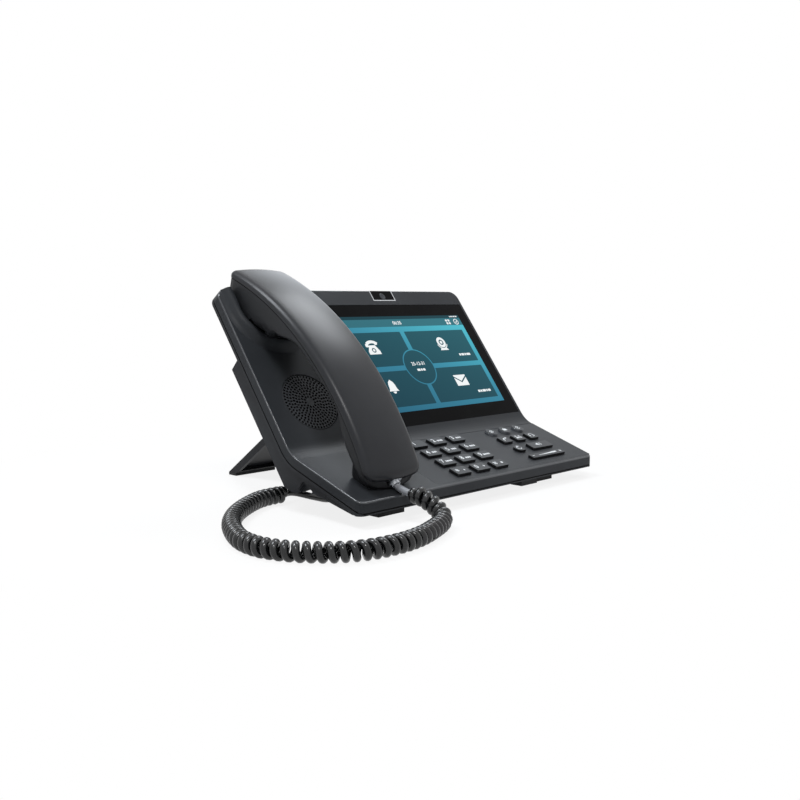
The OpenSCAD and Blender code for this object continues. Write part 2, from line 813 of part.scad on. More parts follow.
module volume_rocker() {
  pin_len = rocker_l + 2 * (key_gap + rocker_lug_t);
  color("#1d1e20") on_deck() translate([rocker_x, rocker_v, 0]) {
    translate([0, 0, -plate_t]) linear_extrude(plate_t + key_rise) rounded(rocker_w, rocker_l, key_corner);
    block(-rocker_pin_r - over, rocker_pin_r + over, -rocker_l / 2, rocker_l / 2, -rocker_pin_h, 0);
    translate([0, 0, -rocker_pin_h]) rotate([90, 0, 0]) cylinder(r = rocker_pin_r, h = pin_len, center = true);
  }
}

module keypad_mat() {
  color("#8a8c8f") on_deck() difference() {
    union() {
      block(dial_x0 - dial_w, func_x(2) + func_w, pad_v0 + over, pad_v1, -pad_h, mat_t - pad_h);
      for (spot = key_spots)
        translate([spot[0], spot[1], -pad_h]) cylinder(r = dome_r, h = pad_h - dome_h);
    }
    for (x = pad_screw_xs)
      for (v = pad_screw_vs)
        translate([x, v, -pad_h - over]) cylinder(r = board_head_r + 1, h = 2 * mat_t + over);
  }
}

module keypad_board() {
  color("#2f6b3c") on_deck() difference() {
    block(pad_x0, pad_x1, pad_v0, pad_v1, -pad_h - board_t, -pad_h);
    for (x = pad_screw_xs)
      for (v = pad_screw_vs)
        translate([x, v, -pad_h - board_t - over]) cylinder(r = board_screw_r + 0.1, h = board_t + 2 * over);
  }
}

module main_board() {
  color("#2f6b3c") on_face() difference() {
    block(main_x0, main_x1, main_v0, main_v1, -main_h - board_t, -main_h);
    for (x = main_screw_xs)
      for (v = main_screw_vs)
        translate([x, v, -main_h - board_t - over]) cylinder(r = board_screw_r + 0.1, h = board_t + 2 * over);
  }
}

module board_screws() {
  color("silver") board_spots() {
    translate([0, 0, -board_screw_len]) cylinder(r = board_screw_r, h = board_screw_len + over / 4);
    cylinder(r = board_head_r, h = board_head_t);
  }
}

// ---- Display, camera, speaker, hook ----
module touch_glass() {
  color("#141415") on_face()
    translate([glass_x, glass_v, -glass_bottom]) linear_extrude(glass_t) rounded(glass_w, glass_l, 1.5);
}

module lcd_module() {
  lcd_gap = 0.1;
  color("#4b6f7c") on_face()
    block(glass_x - lcd_w / 2, glass_x + lcd_w / 2, glass_v - lcd_l / 2, glass_v + lcd_l / 2,
      -glass_bottom - lcd_gap - lcd_t, -glass_bottom - lcd_gap);
}

bezel_w = 0.8;
bezel_play = 0.1;

module camera_bezel() {
  v0 = face_len - camera_l - 1 + bezel_play;
  half = camera_w / 2 - bezel_play;
  color("silver") on_face() difference() {
    block(camera_x - half, camera_x + half, v0, face_len - bezel_play, -camera_depth, 0);
    block(camera_x - half + bezel_w, camera_x + half - bezel_w, v0 + bezel_w, face_len + over,
      -camera_depth - over, over);
  }
}

module camera_window() {
  v0 = face_len - camera_l - 1 + 2 * bezel_play + bezel_w;
  half = camera_w / 2 - 2 * bezel_play - bezel_w;
  color("#101011") on_face() difference() {
    block(camera_x - half, camera_x + half, v0, face_len - bezel_play, -camera_depth, -camera_sink);
    translate([camera_x, camera_v, -camera_depth - over]) cylinder(r = lens_r + fit, h = over + 0.8);
  }
}

module camera_module() {
  lens_top = camera_depth - 0.7;
  color("#1a1a1c") on_face() translate([camera_x, camera_v, 0]) {
    translate([0, 0, -skin_t - 0.5]) cylinder(r = lens_r, h = skin_t + 0.5 - lens_top);
    block(-4.5, 4.5, -5.7, 2.3, -skin_t - 3.2, -skin_t - 0.2);
  }
}

ring_count = 7;
ring_pitch = 2.4;
ring_hub_r = 3;
slot_w = 1.1;
slot_l = 1.6;
slot_pitch = 3.1;

module speaker_grille() {
  color("#303134") on_face() translate([cradle_x, grille_v, -grille_sink - grille_t])
    linear_extrude(grille_t) difference() {
      circle(r = grille_r);
      for (ring = [1:ring_count]) {
        r = ring_hub_r + ring * ring_pitch;
        slots = floor(2 * PI * r / slot_pitch);
        if (r < grille_r - 1.5)
          for (i = [0:slots - 1])
            rotate(360 * i / slots) translate([r, 0]) square([slot_l, slot_w], center = true);
      }
    }
}

driver_rim_t = 2;
driver_cone_t = 4;
magnet_r = 12;
magnet_t = 5;

module speaker_driver() {
  driver_r = grille_r - grille_ledge + over;
  color("#26272a") on_face() translate([cradle_x, grille_v, -skin_t - rest_gap]) {
    translate([0, 0, -driver_rim_t]) cylinder(r = driver_r, h = driver_rim_t);
    translate([0, 0, -driver_rim_t - driver_cone_t])
      cylinder(h = driver_cone_t, r1 = magnet_r, r2 = driver_r - driver_rim_t);
    translate([0, 0, -driver_rim_t - driver_cone_t - magnet_t]) cylinder(r = magnet_r, h = magnet_t);
  }
}

hook_flange_w = 1.1;
hook_flange_t = 0.8;
hook_flange_h = skin_t + rest_gap + hook_travel;

module hook_plunger() {
  color("#202124") on_deck() translate([cradle_x, hook_v, 0]) {
    translate([0, 0, -hook_flange_h]) cylinder(r = hook_r, h = hook_flange_h);
    translate([0, 0, -hook_flange_h - hook_flange_t]) cylinder(r = hook_r + hook_flange_w, h = hook_flange_t);
  }
}

// The switch stands on the floor of the rear cover under the plunger
module hook_switch() {
  switch_w = 6;
  top = -hook_flange_h - hook_flange_t - rest_gap;
  color("#1b1b1d") intersection() {
    on_deck() translate([cradle_x, hook_v, 0])
      block(-switch_w / 2, switch_w / 2, -switch_w / 2, switch_w / 2, -box_h, top);
    at_home() across(-inner_x, inner_x) hollow_outline();
  }
}

// ---- Jacks ----
module jack_body(x, w, d) {
  block(x - w / 2, x + w / 2, jack_y - d / 2, jack_y + d / 2, roof_z, roof_z + jack_h);
}

module network_jacks() {
  socket_w = 11.8;
  socket_d = 8.2;
  socket_h = 11.5;
  color("#3a3b3e") at_home() for (x = lan_xs)
    difference() {
      jack_body(x, lan_w, lan_d);
      block(x - socket_w / 2, x + socket_w / 2, jack_y - socket_d / 2, jack_y + socket_d / 2,
        roof_z - over, roof_z + socket_h);
    }
}

module power_jack() {
  socket_r = 3.15;
  pin_r = 1;
  socket_h = 10;
  color("#1b1b1d") at_home() {
    difference() {
      jack_body(power_x, power_w, lan_d);
      translate([power_x, jack_y, roof_z - over]) cylinder(r = socket_r, h = socket_h + over);
    }
    translate([power_x, jack_y, roof_z + over]) cylinder(r = pin_r, h = socket_h);
  }
}

plug_w = 7.6;
plug_d = 6.4;
plug_play = 0.15;
plug_in = 9.5;
plug_out = 3;
boot_r = 2.9;
boot_t = 2;

module base_handset_jack() {
  color("#3a3b3e") at_home() difference() {
    jack_body(cord_jack_x, cord_jack_w, cord_jack_d);
    block(cord_jack_x - plug_w / 2 - plug_play, cord_jack_x + plug_w / 2 + plug_play,
      jack_y - plug_d / 2 - plug_play, jack_y + plug_d / 2 + plug_play, roof_z - over,
      roof_z + plug_in + rest_gap);
  }
}

module base_plug() {
  color("#c9ccd0") at_home() {
    block(cord_jack_x - plug_w / 2, cord_jack_x + plug_w / 2, jack_y - plug_d / 2, jack_y + plug_d / 2,
      roof_z - plug_out, roof_z + plug_in);
    translate([cord_jack_x, jack_y, roof_z - plug_out - boot_t]) cylinder(r = boot_r, h = boot_t + over);
  }
}

port_board_margin = 10;

module port_board() {
  color("#2f6b3c") at_home()
    block(cord_jack_x - cord_jack_w, power_x + power_w + port_board_margin, jack_y0 + over,
      jack_y1 + port_board_margin / 2, roof_z + jack_h, roof_z + jack_h + board_t);
}

module base_microphone() {
  color("#b9bcc0") at_home() translate([(mic_x0 + mic_x1) / 2, mic_y, mic_boss_gap - front_h + 0.3])
    cylinder(r = mic_r, h = mic_t);
}

module front_feet() {
  color("#161617") at_home() for (side = [-1, 1])
    block(side < 0 ? -foot_x1 : foot_x0, side < 0 ? -foot_x0 : foot_x1, foot_y0, foot_y1, -front_h,
      pad_t - front_h);
}

// ---- Stand ----
stand_panel_t = 2.2;
stand_rib_t = 3;
stand_start = 2.5;
stand_cut_u = 6.5;
stand_len = plate_end(-stand_t / 2);

module plate_slice(x0, x1, u0, u1, w0, w1) {
  across(x0, x1) polygon([on_plate(u0, w0), on_plate(u0, w1), on_plate(u1, w1), on_plate(u1, w0)]);
}

module stand() {
  half_t = stand_t / 2;
  half_w = stand_w / 2;
  arch_u = stand_len - arch_l;
  rib_w = half_t - stand_panel_t;
  pocket_u0 = 9;
  pocket_mid = pocket_u0 + (arch_u - pocket_u0) / 2;
  color("#232427") at_home() difference() {
    union() {
      difference() {
        across(-half_w, half_w) polygon([
          on_plate(-stand_start, -half_t), on_plate(-stand_start, half_t),
          on_plate(plate_end(half_t), half_t), on_plate(stand_len, -half_t)
        ]);
        plate_slice(stand_rib_t - half_w, half_w - stand_rib_t, pocket_u0, pocket_mid - 0.8,
          -half_t - over, rib_w);
        plate_slice(stand_rib_t - half_w, half_w - stand_rib_t, pocket_mid + 0.8, arch_u - stand_rib_t,
          -half_t - over, rib_w);
        for (side = [-1, 1])
          plate_slice(side < 0 ? stand_rib_t - half_w : arch_w / 2 + stand_rib_t,
            side < 0 ? -arch_w / 2 - stand_rib_t : half_w - stand_rib_t,
            arch_u - stand_rib_t - over, stand_len - stand_rib_t, -half_t - over, rib_w);
        plate_slice(-arch_w / 2, arch_w / 2, arch_u, stand_len + 3 * stand_t, -stand_t, stand_t);
        for (side = [-1, 1])
          plate_slice(side < 0 ? -knuckle_x1 - 2 * knuckle_gap - lug_t : knuckle_x0 - 2 * knuckle_gap - lug_t,
            side < 0 ? -knuckle_x0 + 2 * knuckle_gap + lug_t : knuckle_x1 + 2 * knuckle_gap + lug_t,
            -stand_t, stand_cut_u, -stand_t, stand_t);
      }
      for (side = [-1, 1]) {
        x0 = side < 0 ? -knuckle_x1 : knuckle_x0;
        x1 = side < 0 ? -knuckle_x0 : knuckle_x1;
        rod(x0, x1, hinge, lug_r);
        plate_slice(x0, x1, 0, stand_cut_u + over, -half_t, half_t);
      }
    }
    for (side = [-1, 1])
      rod(side < 0 ? -knuckle_x1 - over : knuckle_x0 - over, side < 0 ? -knuckle_x0 + over : knuckle_x1 + over,
        hinge, hinge_pin_r + fit);
  }
}

module stand_hinge_pins() {
  color("silver") at_home() for (side = [-1, 1])
    rod(side < 0 ? -knuckle_x1 - lug_t : knuckle_x0 - lug_t, side < 0 ? -knuckle_x0 + lug_t : knuckle_x1 + lug_t,
      hinge, hinge_pin_r);
}

module stand_feet() {
  y0 = on_plate(stand_len, -stand_t / 2)[0];
  color("#161617") at_home() for (side = [-1, 1])
    block(side < 0 ? -stand_w / 2 : arch_w / 2, side < 0 ? -arch_w / 2 : stand_w / 2, y0, stand_back,
      -front_h, foot_z);
}

// ---- Handset ----
// Its own frame lies with s along the handset from the cord end and n out of the arched back
handset_y = 8;
handset_z = 8;
mouth_s = -3;
ear_s = mouth_s + handset_len;
crown_s = 93;
arc_steps = 24;
ear_r = handset_w / 2 - 0.4;
ear_seat_h = rest_gap - cup_floor_h;
ear_block_top = cup_lip_h + 0.5;
grip_s0 = 55;
grip_n0 = 15.4;
grip_s1 = 109;
grip_n1 = 16.4;

module on_handset() {
  at_home() translate([cradle_x, handset_y, handset_z]) rotate([handset_tilt, 0, 0]) children();
}

// The underside of the grip
function grip_n(s) = grip_n0 + (grip_n1 - grip_n0) * (s - grip_s0) / (grip_s1 - grip_s0);

// Extrudes a side outline of the handset over its width, less an inset at each side
module handset_across(inset) {
  half = handset_w / 2 - inset;
  on_handset() across(-half, half) children();
}

function crown_n(s, depth) = crown_h - crown_r + sqrt(pow(crown_r - depth, 2) - pow(s - crown_s, 2));

function crown_arc(depth, s0, s1) = [
  for (i = [0:arc_steps]) let (s = s0 + (s1 - s0) * i / arc_steps) [s, crown_n(s, depth)]
];

// The ear end leans, so each depth under the crown ends a little sooner
function ear_s_at(depth) = ear_s - 0.64 * depth;

// A point of the housing's side view in the handset's own frame
function to_handset(p) = [
  (p[0] - handset_y) * cos(handset_tilt) + (p[1] - handset_z) * sin(handset_tilt),
  (p[1] - handset_z) * cos(handset_tilt) - (p[0] - handset_y) * sin(handset_tilt)
];

function seat_on_deck(s, gap) = let (
  y0 = to_handset([0, (gap) / cos(deck_tilt)]),
  slope = tan(deck_tilt - handset_tilt)
) [s, y0[1] + (s - y0[0]) * slope];

// The underside of the handset from its ear end to its mouth end
underside_line = concat(
  [
    to_handset(over_face(face_len - 0.6, ear_seat_h)),
    to_handset(over_face(cup_v - ear_r - over, ear_seat_h)),
    to_handset(over_face(cup_v - ear_r - over, ear_block_top + over))
  ],
  [
    [127, 6], [118, 13], [grip_s1, grip_n1], [grip_s0, grip_n0], [48, 13], [41, 7.4], [30, 2.6],
    [15, -1.1], [1, -3], [mouth_s, -3]
  ]
);

module inner_shell_outline() {
  polygon(concat(crown_arc(handset_seam, mouth_s, ear_s_at(handset_seam)), underside_line));
}

// The part of the earpiece that lies inside the cup, seen along the display face's normal
module ear_plan(r, h0, h1) {
  on_face() translate([cradle_x, cup_v, h0]) {
    cylinder(r = r, h = h1 - h0);
    block(-r, r, 0, face_len, 0, h1 - h0);
  }
}

// Rounds the cord end of the handset, seen from its back
module mouth_round() {
  mouth_plan_r = 74;
  on_handset() translate([0, mouth_s + mouth_plan_r, -40]) difference() {
    block(-handset_w, handset_w, -mouth_plan_r - over, -mouth_plan_r + 10, 0, 100);
    translate([0, 0, -over]) cylinder(r = mouth_plan_r, h = 102, $fn = 160);
  }
}

mouthpiece_w = 34;
handset_screw_ss = [68, 107];
handset_post_r = 3;
handset_screw_r = 1.23;
handset_bore_r = 1.25;
mic_hs_r = 3;
mic_hs_s = 16;
weight_w = 18;
weight_s0 = 73;
weight_s1 = 102;
weight_t = 3.2;
grip_floor_n = 18;
handset_head_r = 2.3;
handset_head_t = 1;
hollow_s0 = 8;
hollow_s1 = 116;
hollow_line = [
  [hollow_s0, 1.4], [22, 2.8], [32, 6], [40, 10.4], [47, 14.2], [56, 16.9], [64, grip_floor_n], [112, grip_floor_n]
];
hs_jack_n = 0.3;
hs_jack_w = 11;
hs_jack_l = 13;
hs_jack_t = 8;
hs_jack_s = mouth_s + 1.6;

module mouth_opening() {
  on_handset() block(-plug_w / 2 - rest_gap, plug_w / 2 + rest_gap, mouth_s - over, hs_jack_s + over,
    hs_jack_n - plug_d / 2 - rest_gap, hs_jack_n + plug_d / 2 + rest_gap);
}

module jack_pocket(play) {
  on_handset() block(-hs_jack_w / 2 - play, hs_jack_w / 2 + play, hs_jack_s - play,
    hs_jack_s + hs_jack_l + play, hs_jack_n - hs_jack_t / 2 - play, hs_jack_n + hs_jack_t / 2 + play);
}

module handset_outer_shell() {
  ear_limit = ear_s_at(handset_seam + over) - handset_wall;
  color("#3c3d40") difference() {
    union() {
      difference() {
        handset_across(0) polygon(concat(
          crown_arc(0, mouth_s, ear_s),
          reversed(crown_arc(handset_seam, mouth_s, ear_s_at(handset_seam)))
        ));
        handset_across(handset_wall) polygon(concat(
          crown_arc(handset_wall, mouth_s + 4 + handset_wall, ear_limit),
          reversed(crown_arc(handset_seam + over, mouth_s + 4 + handset_wall, ear_limit))
        ));
      }
      for (s = handset_screw_ss)
        on_handset() translate([0, s, crown_n(s, handset_seam) + 0.2])
          cylinder(r = handset_post_r, h = handset_seam - handset_wall + 0.6);
    }
    mouth_round();
    mouth_opening();
    jack_pocket(0.1);
    for (s = handset_screw_ss)
      on_handset() translate([0, s, crown_n(s, handset_seam) - over])
        cylinder(r = handset_bore_r, h = handset_seam - handset_wall + over);
  }
}

module handset_inner_shell() {
  ear_floor = ear_seat_h + handset_wall;
  color("#333437") difference() {
    union() {
      difference() {
        handset_across(0) inner_shell_outline();
        // Leaves the grip and the mouthpiece hollow up to the seam
        handset_across(handset_wall)
          polygon(concat(hollow_line, reversed(crown_arc(handset_seam - over, hollow_s0, hollow_s1))));
        difference() {
          on_face() translate([cradle_x, 0, 0])
            block(-handset_w, handset_w, cup_v - 2 * cup_r + 15, face_len + 30, -20, ear_block_top);
          ear_plan(ear_r, -21, ear_block_top + over);
        }
      }
      for (s = handset_screw_ss)
        on_handset() translate([0, s, grip_floor_n - over])
          cylinder(r = handset_post_r, h = crown_n(s, handset_seam) - grip_floor_n + over - 0.2);
      // The raised pad behind the mouthpiece holes
      on_handset() across(-mouthpiece_w / 2, mouthpiece_w / 2) polygon([
        [mouth_s + 1, -2], [mouth_s + 1, -4], seat_on_deck(3.5, rest_gap), seat_on_deck(14, rest_gap), [19, -9],
        [27, 1.4], [14, -1]
      ]);
    }
    mouth_round();
    mouth_opening();
    jack_pocket(0.1);
    // The receiver's pocket
    on_face() translate([cradle_x, cup_v, ear_floor]) cylinder(r = receiver_r + 0.15, h = 40);
    for (i = [0:6])
      on_face() translate([cradle_x, cup_v, 0]) rotate(60 * i) translate([i == 6 ? 0 : 5, 0, ear_seat_h - over])
        cylinder(r = 0.9, h = handset_wall + 2 * over);
    // The microphone's pocket and its hole
    on_handset() translate([0, mic_hs_s, -4]) cylinder(r = mic_hs_r + 0.1, h = 12);
    on_handset() translate([0, mic_hs_s, -20]) cylinder(r = 0.8, h = 20);
    for (s = handset_screw_ss)
      on_handset() translate([0, s, 0]) {
        cylinder(r = handset_bore_r + 0.15, h = 30);
        cylinder(r = handset_head_r + 0.2, h = grip_n(s) + handset_head_t);
      }
  }
}

module handset_screws() {
  color("silver") for (s = handset_screw_ss)
    on_handset() translate([0, s, grip_n(s)]) {
      cylinder(r = handset_head_r, h = handset_head_t);
      cylinder(r = handset_screw_r, h = crown_n(s, handset_seam) - grip_n(s) + 2.4);
    }
}

module handset_receiver() {
  receiver_t = 7;
  color("#26272a") on_face() translate([cradle_x, cup_v, ear_seat_h + handset_wall])
    cylinder(r = receiver_r, h = receiver_t);
}

module handset_microphone() {
  mic_hs_t = 2.6;
  color("#b9bcc0") on_handset() translate([0, mic_hs_s, -4]) cylinder(r = mic_hs_r, h = mic_hs_t);
}

module handset_weight() {
  color("#6d7074") on_handset()
    block(-weight_w / 2, weight_w / 2, weight_s0, weight_s1, grip_floor_n, grip_floor_n + weight_t);
}

module handset_jack() {
  color("#3a3b3e") difference() {
    jack_pocket(0);
    on_handset() block(-plug_w / 2 - plug_play, plug_w / 2 + plug_play, hs_jack_s - over,
      hs_jack_s + plug_in + rest_gap, hs_jack_n - plug_d / 2 - plug_play, hs_jack_n + plug_d / 2 + plug_play);
  }
}

plug_end_s = mouth_s - 0.6;

module handset_plug() {
  color("#c9ccd0") on_handset() {
    block(-plug_w / 2, plug_w / 2, hs_jack_s - 0.4, hs_jack_s + plug_in, hs_jack_n - plug_d / 2,
      hs_jack_n + plug_d / 2);
    translate([0, hs_jack_s, hs_jack_n]) rotate([90, 0, 0]) cylinder(r = boot_r, h = hs_jack_s - plug_end_s);
  }
}

// ---- Cord ----
// Routes lie in the part's own frame. The coil lies on the desk and climbs to the handset.
coil_route = [
  [-88.5, -112, 18], [-88, -117, 17.5], [-88, -122, 16], [-87, -127, 13.5], [-86.5, -131.5, 10.5],
  [-88.5, -137, 7.5], [-95, -142, 6], [-107, -148, 6], [-123.5, -154.5, 6], [-139, -158, 6],
  [-153.5, -158.5, 6], [-167, -156.5, 6], [-178, -152, 6], [-187, -145, 6], [-194, -137, 6],
  [-199.5, -128.5, 6], [-203.5, -118, 6], [-205, -106, 6], [-201, -87.5, 6], [-187, -61.5, 6],
  [-168.5, -39.5, 6], [-146, -22, 6], [-125.5, -11.5, 6], [-104.5, -9.5, 6]
];
base_lead_route = [
  [-86.2, -38.7, 6], [-86.5, -34.5, 3.3], [-86.7, -29, 2.5], [-87, -23, 2.5], [-88, -16.5, 2.8],
  [-91, -11.5, 3.9], [-95.5, -9.2, 5.2]
];
lead_gap = 0.1;
lead_straight = 2.2;
lead_end = 4;
base_lead_start = [cord_jack_x, home_y + jack_y, bay_h - plug_out - boot_t];

// A point on the handset jack's axis at distance s along the handset
function jack_axis(s) = [
  cradle_x,
  home_y + handset_y + s * cos(handset_tilt) - hs_jack_n * sin(handset_tilt),
  front_h + handset_z + s * sin(handset_tilt) + hs_jack_n * cos(handset_tilt)
];

function unit(v) = v / norm(v);
function last_of(list) = list[len(list) - 1];

// The way a route runs at its point i
function heading(p, i) = unit(p[min(i + 1, len(p) - 1)] - p[max(i - 1, 0)]);

// A round tube along a route: one ring of points at each point of the route
module tube(p, r, sides, ref) {
  rings = [
    for (i = [0:len(p) - 1])
      let (t = heading(p, i), a = unit(cross(t, ref)), b = cross(a, t))
      [for (k = [0:sides - 1]) p[i] + r * cos(360 * k / sides) * a + r * sin(360 * k / sides) * b]
  ];
  points = [for (ring = rings) for (q = ring) q];
  walls = [
    for (i = [0:len(p) - 2])
      for (k = [0:sides - 1])
        let (a = i * sides + k, b = i * sides + (k + 1) % sides)
        each [[a, b, b + sides], [a, b + sides, a + sides]]
  ];
  first = [for (k = [0:sides - 1]) sides - 1 - k];
  last = [for (k = [0:sides - 1]) (len(p) - 1) * sides + k];
  polyhedron(points = points, faces = concat(walls, [first, last]), convexity = 8);
}

module cord_coil() {
  color("#202124") tube(coil_route, coil_d / 2, 12, [0, 0, 1]);
}

// Each lead starts straight out of its plug and ends straight into the coil
module cord_lead_handset() {
  start_s = plug_end_s - lead_gap;
  into = coil_route[0] - lead_end * heading(coil_route, 0);
  color("#8b8d92") tube([jack_axis(start_s), jack_axis(start_s - lead_straight), into, coil_route[0]],
    cord_d / 2, 10, [1, 0, 0]);
}

module cord_lead_base() {
  end = last_of(coil_route);
  into = end + lead_end * heading(coil_route, len(coil_route) - 1);
  below = base_lead_start - [0, 0, lead_straight + over];
  color("#202124") tube(concat([base_lead_start, below], base_lead_route, [into, end]), cord_d / 2, 10,
    [1, 1, 0]);
}

front_cover();
rear_cover();
keypad_plate();
touch_glass();
lcd_module();
camera_window();
camera_bezel();
camera_module();
speaker_grille();
speaker_driver();
hook_plunger();
hook_switch();
main_board();
port_board();
keypad_board();
keypad_mat();
network_jacks();
power_jack();
base_handset_jack();
base_microphone();
front_feet();
cover_screws();
board_screws();
stand();
stand_hinge_pins();
stand_feet();
handset_outer_shell();
handset_inner_shell();
handset_receiver();
handset_microphone();
handset_weight();
handset_jack();
handset_plug();
handset_screws();
cord_coil();
cord_lead_handset();
cord_lead_base();
base_plug();
dial_key(0, 0);  // key_star
dial_key(1, 0);  // key_0
dial_key(2, 0);  // key_hash
dial_key(0, 1);  // key_7
dial_key(1, 1);  // key_8
dial_key(2, 1);  // key_9
dial_key(0, 2);  // key_4
dial_key(1, 2);  // key_5
dial_key(2, 2);  // key_6
dial_key(0, 3);  // key_1
dial_key(1, 3);  // key_2
dial_key(2, 3);  // key_3
round_key(0);  // round_key_left
round_key(1);  // round_key_middle
round_key(2);  // round_key_right
function_key(0);  // function_key_left
function_key(1);  // function_key_middle
function_key(2);  // function_key_right
half_key();
speaker_key();
volume_rocker();
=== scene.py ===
import json
from math import asin, cos, pi, radians, sin, sqrt, tan

import bmesh
import bpy
from mathutils import Matrix, Vector

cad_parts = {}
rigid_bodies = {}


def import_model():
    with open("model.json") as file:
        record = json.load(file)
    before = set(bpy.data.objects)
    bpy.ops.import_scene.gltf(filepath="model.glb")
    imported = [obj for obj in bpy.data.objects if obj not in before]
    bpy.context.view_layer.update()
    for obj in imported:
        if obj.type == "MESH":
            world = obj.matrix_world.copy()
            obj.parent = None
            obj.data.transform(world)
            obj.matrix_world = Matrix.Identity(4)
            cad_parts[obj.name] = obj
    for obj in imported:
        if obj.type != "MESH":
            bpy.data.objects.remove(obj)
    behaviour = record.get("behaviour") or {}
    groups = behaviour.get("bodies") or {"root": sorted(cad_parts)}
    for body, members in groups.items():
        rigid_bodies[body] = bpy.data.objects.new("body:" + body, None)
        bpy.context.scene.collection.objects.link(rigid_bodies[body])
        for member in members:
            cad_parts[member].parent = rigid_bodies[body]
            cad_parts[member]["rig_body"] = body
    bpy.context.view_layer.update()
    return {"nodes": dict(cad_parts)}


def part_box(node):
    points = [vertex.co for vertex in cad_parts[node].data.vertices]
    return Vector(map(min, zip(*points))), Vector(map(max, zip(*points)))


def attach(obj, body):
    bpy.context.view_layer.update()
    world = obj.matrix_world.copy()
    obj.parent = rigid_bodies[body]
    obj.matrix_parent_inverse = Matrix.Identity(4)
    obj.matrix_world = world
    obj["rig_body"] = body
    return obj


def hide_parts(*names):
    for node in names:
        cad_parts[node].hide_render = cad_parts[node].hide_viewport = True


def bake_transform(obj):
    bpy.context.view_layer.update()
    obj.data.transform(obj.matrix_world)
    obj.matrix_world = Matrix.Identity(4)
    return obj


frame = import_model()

mm = 0.001
nodes = frame["nodes"]
print("frame loaded:", len(nodes), "nodes")

# the housing that everything is placed on, in millimetres and degrees
housing = {
    "deckTilt": 19.1,
    "faceTilt": 53.5,
    "deckLength": 67.8,
    "faceLength": 131,
    "frontHeight": 16,
    "bendRadius": 24,
    "skirt": 6.6,
    "width": 250,
    "topCorner": 8,
    "frontCorner": 5,
}
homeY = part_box("front_cover")[0].y / mm
bendY = housing["deckLength"] * cos(radians(housing["deckTilt"]))
bendZ = housing["deckLength"] * sin(radians(housing["deckTilt"]))


def tilted(x, y, z, tilt):
    # a frame in millimetres that stands at x, y, z behind the front top edge and leans back by tilt
    place = Matrix.Translation((x * mm, (homeY + y) * mm, (housing["frontHeight"] + z) * mm))
    return place @ Matrix.Rotation(radians(tilt), 4, "X") @ Matrix.Scale(mm, 4)


onHome = tilted(0, 0, 0, 0)
onDeck = tilted(0, 0, 0, housing["deckTilt"])
onFace = tilted(0, bendY, bendZ, housing["faceTilt"])
onRow = Matrix.Scale(mm, 4)


# working with meshes
def pick(*objects):
    for other in bpy.context.selected_objects:
        other.select_set(False)
    for each in objects:
        each.select_set(True)
    bpy.context.view_layer.objects.active = objects[0]


def added(name):
    # names the object that an add operator has just made
    piece = bpy.context.active_object
    piece.name = name
    piece.data.name = name
    pick(piece)
    return piece


def newObject(name, data):
    made = bpy.data.objects.new(name, data)
    bpy.context.scene.collection.objects.link(made)
    return made


def copied(source):
    piece = source.copy()
    piece.data = source.data.copy()
    bpy.context.scene.collection.objects.link(piece)
    return piece


def editAll(piece, kind=None):
    # goes into edit mode with the whole mesh selected
    pick(piece)
    bpy.ops.object.mode_set(mode="EDIT")
    if kind:
        bpy.ops.mesh.select_mode(type=kind)
    bpy.ops.mesh.select_all(action="SELECT")


def leaveEdit(outwards=False):
    # leaves edit mode, with all faces turned to look outwards if asked
    if outwards:
        bpy.ops.mesh.select_all(action="SELECT")
        bpy.ops.mesh.normals_make_consistent(inside=False)
    bpy.ops.object.mode_set(mode="OBJECT")


def selectBy(piece, kind, test):
    # selects the faces, edges or vertices for which test(middle, normal) holds, and goes into edit mode
    editAll(piece, kind)
    bpy.ops.mesh.select_all(action="DESELECT")
    mesh = bmesh.from_edit_mesh(piece.data)
    if kind == "FACE":
        for face in mesh.faces:
            face.select_set(test(face.calc_center_median(), face.normal))
    elif kind == "EDGE":
        for edge in mesh.edges:
            middle = (edge.verts[0].co + edge.verts[1].co) / 2
            edge.select_set(test(middle, (edge.verts[1].co - edge.verts[0].co).normalized()))
    else:
        for vert in mesh.verts:
            vert.select_set(test(vert.co, vert.normal))
    mesh.select_flush_mode()
    bmesh.update_edit_mesh(piece.data)


def bevelBy(piece, kind, test, width, segments):
    # rounds the edges, or the edges of the faces, for which test(middle, normal) holds
    selectBy(piece, kind, test)
    bpy.ops.mesh.bevel(offset=width, segments=segments, affect="EDGES")
    leaveEdit()


def paintFaces(piece, index, test):
    # gives the faces for which test(middle, normal) holds another of the piece's materials
    selectBy(piece, "FACE", test)
    piece.active_material_index = index
    bpy.ops.object.material_slot_assign()
    leaveEdit()


def growRing(steps):
    # extrudes the selected ring of edges: each step scales it and lifts it
    for scale, rise in steps:
        bpy.ops.mesh.extrude_edges_move()
        bpy.ops.transform.resize(value=(scale, scale, 1))
        bpy.ops.transform.translate(value=(0, 0, rise))


def arc(x, y, radius, start, end, steps):
    # points on a circle, from one angle to another in degrees
    angles = [radians(start + (end - start) * i / steps) for i in range(steps + 1)]
    return [(x + radius * cos(a), y + radius * sin(a)) for a in angles]


def moved(piece, x, y, z):
    piece.data.transform(Matrix.Translation((x, y, z)))
    return piece


def modify(piece, kind, **settings):
    # adds a modifier with its settings and applies it
    pick(piece)
    modifier = piece.modifiers.new(kind.lower(), kind)
    for name, value in settings.items():
        setattr(modifier, name, value)
    bpy.ops.object.modifier_apply(modifier=modifier.name)
    return piece


def roundEdges(piece, width, segments=3, angle=30):
    return modify(piece, "BEVEL", width=width, segments=segments, limit_method="ANGLE",
                  angle_limit=radians(angle), harden_normals=True, miter_outer="MITER_ARC")


def cleanUp(piece, distance=0.0005):
    editAll(piece)
    bpy.ops.mesh.remove_doubles(threshold=distance)
    leaveEdit(outwards=True)
    return piece


